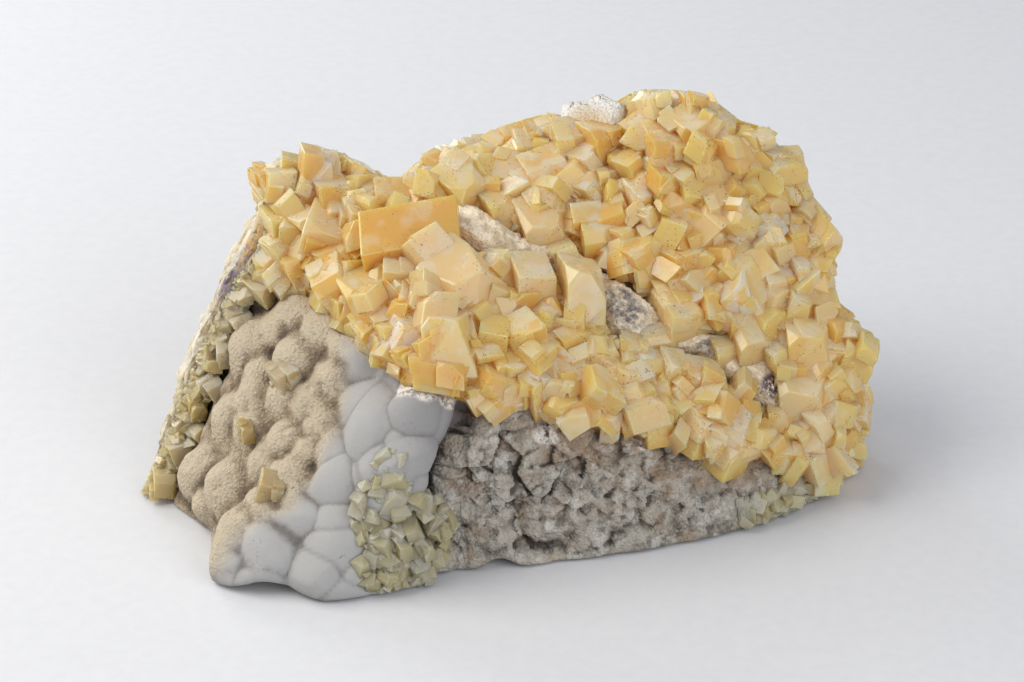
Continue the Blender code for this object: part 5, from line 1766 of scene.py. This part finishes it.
@dataclass
class Taken:
    """Places that crystals have taken, with half their sizes."""

    room: int = 8000
    used: int = 0
    places: Array = field(init=False)
    reaches: Array = field(init=False)

    def __post_init__(self) -> None:
        """Makes room for the places."""
        self.places = np.zeros((self.room, 3))
        self.reaches = np.zeros(self.room)

    def add(self, place: Array, reach: float) -> None:
        """Notes a place."""
        self.places[self.used], self.reaches[self.used] = place, reach
        self.used += 1

    def free(self, place: Array, reach: float, closeness: float) -> bool:
        """Whether a crystal fits, allowing neighbours to overlap by a share of their summed reaches."""
        offsets = self.places[: self.used] - place
        gaps = np.einsum("ij,ij->i", offsets, offsets)
        return not (gaps < (closeness * (self.reaches[: self.used] + reach)) ** 2).any()


@dataclass
class CalciteCrust:
    """The main crust: stated crystals where the picture shows them, then ever smaller ones between."""

    rock: RockForm
    cover: CoverMap
    setter: CrystalSetter
    forms: RhombForms
    seed: int = 20
    # The zone at (412, 240) gives the big rhomb a tone near zero, deeper amber and less pale: partly its honey colour
    # and partly painted shade.
    toned: tuple[ShadeZone, ...] = tuple(ShadeZone(*row) for row in (
        (548, 374, 13, 0.99), (640, 366, 11, 0.99), (452, 380, 15, 0.14), (305, 160, 8, 0.97), (672, 372, 10, 0.9),
        (722, 385, 8, 0.93), (412, 240, 16, 0.015), (470, 282, 12, 0.4),
    ))
    litters: tuple[Litter, ...] = (
        Litter(640, 2.8, 4.8, 0.60, 0.22, 0.7, 1.8, 3.6),
        Litter(1200, 1.6, 2.8, 0.72, 0.26, 0.8),
        Litter(1500, 0.8, 1.5, 0.80, 0.40, 0.9),
    )
    candidates: int = 26000

    def _candidates(self, random: np.random.Generator, size: float) -> tuple[Array, Array, Array]:
        """Random places on the crust, most of them on the seen side, clear of the bare ground by half a size.

        Args:
            random: Draws the places.
            size: The largest crystal that goes there.

        Returns:
            Places, outward normals and how far the bed is raised there.
        """
        directions = unit(random.normal(size=(self.candidates, 3)) + np.array((0.0, -0.25, 0.45)))
        points = self.rock.from_heart(directions)
        normals = self.rock.normals(points)
        view = self.rock.view
        seen = normals @ view.back > 0.05
        px, py = view.pixels(points + (0.2 + 0.2 * size) * view.up)
        low_enough = view.polygon_gap(px, py, self.cover.specimen_outline) < 0.3
        clear = np.ones(len(points), bool)
        for top in (0.0, 0.3, 0.6):
            px, py = view.pixels(points + normals * 0.2 * size + view.up * top * size)
            clear &= view.polygon_gap(px, py, self.cover.bare_trough) > 0.48 * size + 0.3
            clear &= view.polygon_gap(px, py, self.cover.bare_hollow) > 0.36 * size
        clear &= view.polygon_gap(px, py, self.cover.bare_cap) > 0.3 * size
        cover = self.cover.cover(points, normals)
        kept = (cover > 0.12 + 0.14 * size) & low_enough & (clear | ~seen)
        return points[kept], normals[kept], self.cover.bed(cover[kept])

    def build(self, stated: Iterable[Crystal]) -> bpy.types.Object:
        """Sets every crystal and grows them together.

        Args:
            stated: Crystals that the picture shows.

        Returns:
            The piece.
        """
        random = np.random.default_rng(self.seed)
        heap, taken = CrystalHeap(self.rock, self.forms), Taken()
        for place, crystal in zip(self.setter.set_stated(heap, stated, random), stated):
            taken.add(place, 0.5 * self.setter.scale * min(crystal.width, crystal.height))
        for litter in self.litters:
            points, normals, bed = self._candidates(random, litter.largest)
            placed = self.setter.scatter(heap, litter, points, normals, taken, random, bed)
            LOG.info("litter of %d crystals up to %.1f mm", placed, litter.largest)
        heap.retone(self.toned)
        heap.clear_young(self.cover.bare_tops)
        heap.draw_in(self.cover.specimen_outline)
        return new_piece("calcite_crystals", heap.grown_mesh("calcite_crystals"), "calcite_crust")


@dataclass
class CrystalGroup:
    """A patch of crystals of its own on the block, inside an outline in the picture."""

    name: str
    node: str
    block: MatrixBlock
    setter: CrystalSetter
    forms: RhombForms
    outline: Polygon
    litters: tuple[Litter, ...]
    window: ShadeZone = ShadeZone(402.0, 511.0, 8.0, 0.0)
    patch_size: float = 2.6
    patch_share: float = 0.25
    seed: int = 3

    def _candidates(self, random: np.random.Generator, count: int = 2600) -> tuple[Array, Array]:
        """Random places inside the outline, on the block's relief, with its normals."""
        corners = np.array(self.outline)
        px = random.uniform(corners[:, 0].min(), corners[:, 0].max(), count)
        py = random.uniform(corners[:, 1].min(), corners[:, 1].max(), count)
        inside = inside_polygon(px, py, self.outline)
        inside &= np.hypot(px - self.window.px, py - self.window.py) > self.window.reach
        points = self.block.on_relief(px[inside], py[inside])
        patchy = value_noise(points, self.patch_size, 77) < self.patch_share
        return points[patchy], self.block.rock.normals(points[patchy])

    def build(self, stated: Iterable[Crystal], lift_share: float = 0.04) -> bpy.types.Object:
        """Sets the crystals and grows them together.

        Args:
            stated: Crystals that the picture shows.
            lift_share: How much of its size each stands off the block's relief.

        Returns:
            The piece.
        """
        random = np.random.default_rng(self.seed)
        heap, taken = CrystalHeap(self.block.rock, self.forms), Taken()
        stated = list(stated)
        small = np.array([min(c.width, c.height) for c in stated])
        centres = self.block.on_relief([c.px for c in stated], [c.py for c in stated], lift_share * small)
        self.setter.set_stated(heap, stated, random, centres=centres)
        for place, reach in zip(centres, 0.5 * self.setter.scale * small):
            taken.add(place, reach)
        for litter in self.litters:
            points, normals = self._candidates(random)
            self.setter.scatter(heap, litter, points, normals, taken, random)
        heap.draw_in(self.block.crust.specimen_outline)
        return new_piece(self.name, heap.grown_mesh(self.name), self.node)


@dataclass
class EndSkin:
    """The broken plate of crust that stands along the left end, with small crystals on its near edge."""

    setter: CrystalSetter
    forms: RhombForms
    path: tuple[Point, ...] = (
        (-48.4, -4.6, 0.0), (-46.9, -1.6, 5.0), (-44.9, 0.8, 10.0), (-42.7, 2.8, 15.5), (-40.3, 4.4, 21.0),
        (-37.6, 5.6, 26.5), (-34.6, 6.8, 31.5), (-32.4, 8.6, 36.0), (-31.6, 10.5, 40.0),
    )
    thickness: float = 3.6
    inward_growth: float = 4.0
    depth: float = 13.0
    rows: int = 200
    columns: int = 150
    crystal_front: float = -0.5
    candidates: int = 5000
    seed: int = 12
    litters: tuple[Litter, ...] = (
        Litter(26, 1.5, 2.4, 1.0, -0.12, 0.9, 0.0),
        Litter(240, 0.8, 1.4, 0.80, -0.05, 0.9, 1.0),
        Litter(800, 0.35, 0.75, 0.80, 0.05, 0.9, 2.0),
    )

    def _centres(self, share: Array) -> Array:
        """Places along the path, from its foot at 0 to its top at 1."""
        path = np.array(self.path)
        station = share * (len(path) - 1)
        return np.stack([np.interp(station, np.arange(len(path)), path[:, axis]) for axis in range(3)], axis=-1)

    def plate(self) -> bpy.types.Object:
        """The plate: a rounded rectangle carried up the path, roughened by noise.

        Each ring is (T/2 c^0.5, D/2 (1 + s^0.5)) for the cosine c and sine s of the turn, drawn in at both ends by
        the square root of 1 - |2 v - 1|^12, then pushed out by layered noise.

        Returns:
            The piece.
        """
        share = 1.0 - (np.arange(self.rows) + 0.5) / self.rows
        turn = np.arange(self.columns) / self.columns * math.tau
        share_grid, turn_grid = np.meshgrid(share, turn, indexing="ij")
        centre = self._centres(share_grid)
        shrink = np.sqrt(1.0 - np.abs(2.0 * share_grid - 1.0) ** 12)
        sideways = np.sign(np.cos(turn_grid)) * np.abs(np.cos(turn_grid)) ** 0.5
        back = np.sign(np.sin(turn_grid)) * np.abs(np.sin(turn_grid)) ** 0.5
        rings = centre.copy()
        inward = self.inward_growth * np.clip(sideways, 0.0, None) * smooth_step(back, -0.9, 0.2) * shrink
        rings[..., 0] += 0.5 * self.thickness * sideways * shrink + 0.05 * self.depth * (1.0 + back) + inward
        rings[..., 1] += 0.5 * self.depth * (1.0 + back * shrink)
        flat = rings.reshape(-1, 3)
        push = 1.2 * layered_noise(flat, 3.4, 7, 5) + 0.45 * cell_field(flat, 1.7, 9).facet - 0.2
        push += 0.8 * cell_field(flat, 5.0, 29).facet * smooth_step(back.ravel(), -0.7, 0.2)
        flat[:, 1] += 1.6 * value_noise(flat * np.array((1.0, 0.0, 1.0)), 5.0, 43) * (back.ravel() > 0.0)
        across = np.stack([sideways, back, np.zeros_like(back)], axis=-1).reshape(-1, 3)
        flat = flat + unit(across) * push[:, None]
        flat[:, 2] = np.maximum(flat[:, 2], 0.0)
        mesh = globe_mesh("end_plate", flat.reshape(self.rows, self.columns, 3))
        rim = smooth_step(-across[:, 0], 0.86, 0.97) * smooth_step(-across[:, 1], 0.35, 0.75)
        purple = np.exp(-(((flat[:, 2] - 28.5) / 3.2) ** 2)) * smooth_step(-across[:, 1], 0.2, 0.8)
        amber = smooth_step(flat[:, 2], 29.0, 33.0) * smooth_step(-across[:, 1], -0.2, 0.5)
        # The cavity mark darkens the plate's hollows in its finish as painted shade.
        marks = {"rim": rim, "purple": purple, "amber": amber, "cavity": np.clip(push / 0.6, -1, 1)}
        for name, values in marks.items():
            ends = [values[: self.columns].mean(), values[-self.columns:].mean()]
            add_attribute(mesh, name, "POINT", np.concatenate([values, ends]))
        mesh.shade_smooth()
        return new_piece("end_plate", mesh, "calcite_crust")

    def crystals(self, stated: Iterable[Crystal], outline: Polygon) -> bpy.types.Object:
        """The small crystals on its near edge.

        Args:
            stated: Crystals that the picture shows there.
            outline: The specimen's outline in the picture.

        Returns:
            The piece.
        """
        random = np.random.default_rng(self.seed)
        heap, taken = CrystalHeap(self.setter.rock, self.forms), Taken()
        stated = list(stated)
        share = np.linspace(0.0, 1.0, 60)
        path = self._centres(share)
        px, py = self.setter.rock.view.pixels(path)
        order = np.argsort(py)
        rows = np.array([c.py for c in stated])
        at = np.stack([np.interp(rows, py[order], path[order, axis]) for axis in range(3)], axis=1)
        beside = np.array([c.px for c in stated]) - np.interp(rows, py[order], px[order])
        beside *= self.setter.rock.view.pixel_size
        at += np.stack([beside, np.full(len(stated), self.crystal_front), np.zeros(len(stated))], axis=1)
        at[:, 1] += 0.8
        self.setter.set_stated(heap, stated, random, centres=at)
        for place, crystal in zip(at, stated):
            taken.add(place, 0.42 * min(crystal.width, crystal.height))
        for litter in self.litters:
            share = random.uniform(0.01, 0.80, self.candidates)
            side = random.uniform(-0.50, 0.85, self.candidates)
            inward = np.abs(random.normal(0.0, 0.12, self.candidates)) * self.depth
            points = self._centres(share)
            points[:, 0] += side * self.thickness
            points[:, 1] += np.where(np.abs(side) > 0.4, inward, 0.0) + 0.1
            normals = unit(np.stack([side * 1.6, np.full_like(side, -1.0), np.full_like(side, 0.3)], axis=1))
            self.setter.scatter(heap, litter, points, normals, taken, random)
        heap.draw_in(outline)
        return new_piece("end_crystals", heap.grown_mesh("end_crystals"), "calcite_crust")


@dataclass
class LoneRhomb:
    """One rhomb that stands alone on the tan lobes, with the small ones grown on to it."""

    node: str
    crystal: Crystal
    block: MatrixBlock
    setter: CrystalSetter
    forms: RhombForms

    def build(self) -> bpy.types.Object:
        """Sets the rhomb and its small neighbours.

        Returns:
            The piece.
        """
        random = np.random.default_rng(int(self.crystal.px))
        heap = CrystalHeap(self.block.rock, self.forms)
        size = min(self.crystal.width, self.crystal.height)
        offsets = ((0.0, 0.0, 1.0), (0.30, 0.22, 0.5), (-0.30, 0.25, 0.45))
        scale = size / self.block.rock.view.pixel_size
        group = [self.crystal._replace(px=self.crystal.px + dx * scale, py=self.crystal.py + dy * scale,
                                       width=self.crystal.width * share, height=self.crystal.height * share,
                                       roll=self.crystal.roll + 50.0 * dx)
                 for dx, dy, share in offsets]
        lifts = np.array([0.24 * min(c.width, c.height) for c in group])
        centres = self.block.on_relief([c.px for c in group], [c.py for c in group], lifts)
        self.setter.set_stated(heap, group, random, centres=centres)
        return new_piece(self.node + "_piece", heap.grown_mesh(self.node + "_piece"), self.node)


def stated(*rows: tuple[float, ...]) -> tuple[Crystal, ...]:
    """Crystals from rows of their values."""
    return tuple(Crystal(*row) for row in rows)


CREST_CRYSTALS = stated(
    (258, 178, 4, 5, 8), (304, 163, 6.2, 6.6, -14, 20, 35), (285, 176, 3.8, 3.6, 20), (327, 170, 3.2, 5.6, -8),
    (347, 168, 4.2, 5.8, -18, 15, 40), (268, 192, 3.6, 3.4, 10), (288, 201, 2.9, 3, -12), (310, 195, 4.4, 4, -30),
    (336, 200, 4, 6, 4), (378, 185, 5.8, 3.6, 14), (365, 200, 4.8, 3.8, 22), (402, 199, 7.6, 3.6, -4),
    (338, 236, 9.4, 5, -27, 38, 20), (346, 264, 5.2, 5, 34), (327, 279, 4.2, 5.6, -20),
    (412, 240, 13.4, 7.6, -7, 50, 10, 6.5), (281, 244, 6.4, 5.4, 6), (275, 216, 5.6, 5, -6), (300, 268, 5, 4.6, 20),
    (316, 222, 4.6, 4.6, 30), (362, 222, 5, 4, -20),
)
FRONT_ROW_CRYSTALS = stated(
    (366, 297, 5.8, 5.6, 14), (400, 279, 4.8, 4.8, -10), (406, 308, 3.4, 5, -30), (342, 308, 3.2, 4.2, 6),
    (434, 282, 4.4, 4, 26), (466, 280, 7.4, 7.6, 28, 30, 30), (499, 268, 4.2, 5.4, 36),
    (532, 286, 6, 7.8, -12, 24, 30), (581, 292, 6.8, 7.2, -14, 22, 26), (501, 298, 4.8, 4.8, -28),
    (484, 315, 4.6, 4.8, 20), (447, 341, 7.8, 7.4, -4, 16, 20), (395, 334, 4.8, 4.2, 12), (383, 350, 3.8, 3.6, -12),
    (408, 357, 4, 4, 18), (499, 338, 5.4, 4.8, -16), (510, 360, 5.6, 4, 4), (540, 357, 4.8, 6.4, 12),
    (537, 316, 3.6, 3.8, 40), (516, 327, 3.8, 3.6, -20), (535, 392, 2.8, 5.6, -6), (512, 389, 4.4, 3.8, -10),
    (495, 405, 3.8, 3.4, 20), (576, 343, 5.4, 4.8, -3), (607, 358, 4.6, 5.4, 8), (584, 377, 4, 4.6, 42),
    (572, 402, 4.4, 3.4, 6), (639, 394, 3.6, 5.4, 10), (612, 402, 5.2, 4.6, 16), (566, 312, 4, 3.6, 10),
    (632, 352, 4.4, 4, -16), (632, 366, 4.2, 4.4, -16), (652, 370, 4.2, 5, -16), (672, 372, 4.2, 5.2, -16),
    (692, 384, 4, 5.2, -17), (711, 386, 4.4, 5.4, -18), (737, 396, 3, 6, -38), (659, 340, 5, 2.8, -3),
    (694, 428, 5.2, 5.6, -22, 30, -24), (655, 424, 4.2, 4.6, -8), (725, 352, 4.2, 3.4, -10),
    (438, 372, 6.4, 4, -6, 6, 12), (466, 374, 4.4, 3.6, -24), (480, 396, 3.6, 3.4, 12), (372, 326, 4.4, 3.8, 20),
)
UPPER_MASS_CRYSTALS = stated(
    (434, 164, 4.4, 5.8, 8), (452, 150, 3.6, 4.2, 40), (478, 141, 4.6, 4, -12), (462, 187, 6.4, 5.4, 6),
    (421, 184, 3.4, 5.4, 14), (532, 128, 6.4, 4.8, -4), (548, 178, 7.6, 6.4, 8), (497, 167, 4.6, 4.2, -14),
    (499, 192, 3.4, 3.2, -6), (499, 210, 3.4, 4, 8), (587, 163, 4.8, 5.4, 22), (630, 168, 4.8, 4.6, 14),
    (641, 132, 4.6, 3.6, 20), (667, 146, 6.2, 4.8, -8), (643, 104, 4.2, 4, 30), (667, 105, 4.2, 4, -16),
    (702, 106, 5.6, 4.6, -10, 20, 30), (730, 127, 5.2, 4.8, -30), (761, 136, 4.4, 3.8, 14), (792, 164, 6.4, 4.2, -8),
    (742, 167, 5.4, 4.6, -26), (713, 170, 4.8, 5, 10), (799, 192, 4.8, 4.6, 12), (812, 210, 4, 4, 34),
    (833, 238, 5, 6.2, -38, 10, 40), (596, 194, 4.2, 4.8, 34), (614, 207, 3.8, 4.4, -34), (716, 200, 6.6, 4.2, -5),
    (639, 202, 4.6, 4.6, -10), (652, 220, 4.4, 4.2, 16), (674, 224, 3.4, 4.2, -6), (698, 238, 4.6, 4, 8),
    (719, 240, 4, 4.2, -14), (743, 232, 4.8, 4.6, 24), (784, 246, 5.6, 4.8, 10), (520, 219, 3, 3.4, 12),
    (542, 224, 6.4, 5.4, 2), (571, 212, 4, 4, -20), (598, 234, 6.4, 5, -14), (625, 238, 4.8, 4, 20),
    (643, 252, 5.8, 5.4, 28), (680, 264, 6.2, 4.4, 4), (741, 276, 6.2, 9, 32, 22, 34), (713, 298, 5.8, 4.6, 10),
    (680, 311, 6.6, 4.8, -12), (672, 290, 5.6, 4.4, 8), (706, 276, 4.6, 4.4, 24), (799, 271, 5.2, 4.4, -18),
    (826, 280, 5.6, 5, -24), (512, 148, 4.8, 4.2, 16), (569, 140, 4.8, 4, -12), (601, 140, 5.4, 4.4, 6),
    (565, 158, 4.4, 4.2, 30), (690, 178, 5, 4.4, 14), (664, 184, 4.6, 4.4, -18), (766, 206, 5.2, 4.6, 16),
    (765, 182, 4.6, 4.2, -14), (610, 180, 4.2, 4, 4), (560, 196, 4.4, 3.8, -22), (692, 128, 5, 4.4, 16),
    (775, 280, 4.4, 4.6, -8), (565, 257, 3.8, 3.6, 14), (646, 275, 3.8, 3.4, -4), (475, 165, 4.2, 4.2, 24),
    (526, 150, 4.4, 4, -14), (526, 186, 4.2, 4.6, 10), (746, 205, 4.4, 4.2, 0), (782, 222, 4.6, 4, -20),
    (808, 242, 4.4, 4.4, 12),
)
RIGHT_END_CRYSTALS = stated(
    (749, 341, 5.4, 5.4, -14), (736, 324, 3.6, 3.6, 18), (804, 344, 7, 6.4, -8, 26, 22), (783, 328, 3.4, 3.4, 28),
    (838, 356, 5.4, 6, -16), (873, 352, 6, 5.2, -34), (840, 319, 8.6, 4.8, -36, 30, 14), (801, 311, 5.8, 4.8, -20),
    (765, 318, 5, 4.6, 12), (801, 394, 6.8, 5.8, -6), (849, 407, 5.8, 4.8, -16), (862, 432, 4.8, 5.4, 6),
    (801, 429, 4.2, 4, 4), (845, 459, 6, 4.4, -22), (843, 486, 3.4, 3.6, 8), (768, 446, 4.2, 4, 20),
    (866, 386, 4.8, 4.6, 10), (825, 440, 5, 4.6, -30), (826, 382, 5.2, 4.8, 22), (818, 418, 4.6, 4.6, 10),
    (785, 452, 4.6, 4, -12), (812, 464, 4.6, 4.2, 16), (780, 360, 4.6, 4.8, 12), (778, 424, 3.8, 4, -10),
    (790, 372, 4.4, 4.4, -14), (822, 478, 4.4, 3.8, -8),
)
SKIN_CRYSTALS = stated(
    (201, 434, 3, 3.2, 40), (214, 388, 2.8, 3, 20), (198, 410, 3, 2.8, -20), (180, 452, 3.2, 3, 12),
    (160, 492, 3.4, 3, -8), (243, 322, 3, 3, 14), (228, 352, 3, 3.2, -10), (262, 288, 3.6, 3.4, 18),
)
FRONT_GROUP_CRYSTALS = stated(
    (395, 470, 3.6, 3.4, 12), (378, 492, 3.8, 3.6, -20), (372, 516, 4, 3.8, 8), (384, 545, 4.4, 4.4, 30),
    (372, 558, 3.6, 3.8, -12), (412, 528, 5, 5.2, 18), (434, 522, 4.6, 5.2, -24), (404, 548, 4.2, 4.2, -10),
    (425, 548, 4.6, 4.2, 12), (392, 580, 4.4, 3.8, -8), (416, 566, 3.8, 3.6, 26), (398, 512, 4.2, 4.4, -30),
)
FOOT_GROUP_CRYSTALS = stated(
    (749, 520, 3.4, 4, 6), (758, 508, 3.8, 4, -20), (772, 511, 3.6, 3.6, 18), (786, 503, 3.6, 3.4, -8),
    (744, 505, 3, 3.2, 24), (799, 497, 3.4, 3.2, 10),
)
LONE_CRYSTALS = {
    "lone_rhomb_upper": Crystal(284, 378, 3.4, 3.2, 12),
    "lone_rhomb_middle": Crystal(247, 432, 2.2, 2.2, -10),
    "lone_rhomb_lower": Crystal(270, 487, 3.6, 3.6, -24),
}
FRONT_GROUP_OUTLINE = (
    (392, 452), (412, 462), (410, 492), (436, 500), (452, 524), (444, 556), (428, 580), (404, 592), (378, 598),
    (362, 580), (358, 548), (352, 520), (364, 490), (378, 470),
)
FOOT_GROUP_OUTLINE = (
    (736, 502), (762, 494), (800, 484), (846, 482), (846, 494), (804, 504), (766, 522), (746, 530),
)
GROUP_LITTERS = (
    Litter(40, 1.5, 2.2, 0.66, 0.0, 0.9, 0.0), Litter(220, 0.9, 1.4, 0.62, 0.06, 0.9, 0.0),
    Litter(420, 0.4, 0.8, 0.70, 0.20, 0.9, 2.0),
)
STATED_CRUST = CREST_CRYSTALS + FRONT_ROW_CRYSTALS + UPPER_MASS_CRYSTALS + RIGHT_END_CRYSTALS


@dataclass(frozen=True)
class Studio:
    """A pale floor and soft light from the left, with a weak fill."""

    floor_half_size: float = 1.6
    key_watts: float = 3.2
    fill_watts: float = 2.4
    rim_watts: float = 0.9
    floor_colour: Tint = (214, 214, 216)
    floor_cloud: Tint = (217, 217, 218)
    floor_drop: float = 0.0002
    floor_roughness: float = 0.7
    room_colour: tuple[float, ...] = (0.86, 0.91, 1.0, 1.0)
    room_strength: float = 0.40

    def _light(self, name: str, watts: float, size: float, place: Point,
               tint: Point) -> None:
        """Hangs a square soft light, facing the specimen."""
        lamp = bpy.data.lights.new(name, "AREA")
        lamp.energy = watts
        lamp.size = size
        lamp.color = tint
        holder = bpy.data.objects.new(name, lamp)
        bpy.context.scene.collection.objects.link(holder)
        holder.location = place
        aim = Vector((0.0, 0.0, 0.02)) - holder.location
        holder.rotation_euler = aim.to_track_quat("-Z", "Y").to_euler()

    def build(self, effects: SharedEffects) -> None:
        """Lays the floor and hangs the lights.

        Args:
            effects: The shared node groups.
        """
        half = self.floor_half_size
        mesh = bpy.data.meshes.new("floor")
        corners = [(x * half, y * half, -self.floor_drop) for x, y in ((-1, -1), (1, -1), (1, 1), (-1, 1))]
        mesh.from_pydata(corners, [], [(0, 1, 2, 3)])
        floor = bpy.data.objects.new("floor", mesh)
        bpy.context.scene.collection.objects.link(floor)
        material, w, shader = new_material("pale_floor")
        where = w.coordinates()
        tint = w.blend(w.ramp(w.noise(where, 2.0, 3.0), 0.3, 0.7), self.floor_colour, self.floor_cloud)
        w.give(shader, Base_Color=tint, Roughness=self.floor_roughness)
        mesh.materials.append(material)
        self._light("key", self.key_watts, 0.50, (-0.42, -0.02, 0.42), (1.0, 0.97, 0.92))
        self._light("fill", self.fill_watts, 0.60, (0.42, -0.44, 0.32), (0.94, 0.96, 1.0))
        self._light("rim", self.rim_watts, 0.25, (-0.30, 0.40, 0.25), (0.95, 0.97, 1.0))
        world = bpy.data.worlds.new("soft_room")
        world.use_nodes = True
        background = world.node_tree.nodes["Background"]
        background.inputs["Color"].default_value = self.room_colour
        background.inputs["Strength"].default_value = self.room_strength
        bpy.context.scene.world = world
        bpy.context.scene.view_settings.view_transform = "Standard"


def main() -> None:
    """Builds the specimen piece by piece, then the camera and the studio."""
    logging.basicConfig(level=logging.INFO, format="%(message)s")
    rock = RockForm()
    cover = CoverMap(rock)
    effects = SharedEffects.build()
    honey = CalciteFinish("honey_calcite", deep=(240, 166, 56), body=(255, 216, 132), pale=(255, 236, 206))
    crusty = CalciteFinish("end_calcite", deep=(190, 164, 116), body=(216, 200, 160), pale=(226, 217, 196),
                           lemon_deep=(198, 170, 102), lemon=(222, 200, 138), blush=(222, 210, 188),
                           amber=(224, 204, 144), specks=0.16, clarity=0.30, glow_reach_mm=(1.6, 1.3, 0.9))
    pale = CalciteFinish("pale_calcite", deep=(172, 162, 118), body=(220, 210, 172), pale=(236, 232, 218),
                         lemon_deep=(172, 162, 104), lemon=(222, 210, 152), blush=(224, 218, 206),
                         amber=(212, 198, 142), specks=0.14, clarity=0.52, glow_reach_mm=(1.6, 1.3, 0.9))
    lone = CalciteFinish("lone_calcite", deep=(190, 160, 108), body=(222, 198, 152), pale=(234, 220, 192),
                         lemon_deep=(196, 168, 108), lemon=(224, 204, 150), blush=(226, 210, 182),
                         amber=(196, 166, 104), specks=0.16, clarity=0.5, glow_reach_mm=(1.6, 1.3, 0.9))

    block = MatrixBlock(rock, cover)
    block_piece = block.build()
    block.dress(block_piece, effects)
    LOG.info("%s: %d faces", block_piece.name, len(block_piece.data.polygons))

    forms, setter = RhombForms(), CrystalSetter(rock)
    small_setter = CrystalSetter(rock, scale=0.50, jitter_degrees=50.0, young=1, stretch=1.35,
                                 habit_odds=(0.06, 0.22, 0.12, 0.45, 0.15))
    honey_material, pale_material, lone_material = (finish.build(effects) for finish in (honey, pale, lone))
    skin = EndSkin(setter, forms)
    plate = skin.plate()
    plate.data.materials.append(PlateFinish().build(effects))
    made = {
        "main crust": (CalciteCrust(rock, cover, setter, forms).build(STATED_CRUST), honey_material),
        "end crystals": (skin.crystals(SKIN_CRYSTALS, cover.specimen_outline), crusty.build(effects)),
        "front group": (CrystalGroup("front_group", "front_calcite_group", block, small_setter, forms,
                                     FRONT_GROUP_OUTLINE, GROUP_LITTERS).build(FRONT_GROUP_CRYSTALS), pale_material),
        "foot group": (CrystalGroup("foot_group", "foot_calcite_group", block, small_setter, forms,
                                    FOOT_GROUP_OUTLINE, GROUP_LITTERS).build(FOOT_GROUP_CRYSTALS), pale_material),
    }
    for node, crystal in LONE_CRYSTALS.items():
        made[node] = (LoneRhomb(node, crystal, block, setter, forms).build(), lone_material)
    for label, (piece, material) in made.items():
        piece.data.materials.append(material)
        LOG.info("%s: %s with %d faces", label, piece.name, len(piece.data.polygons))

    PhotoView().make_camera()
    Studio().build(effects)


if __name__ == "__main__":
    main()
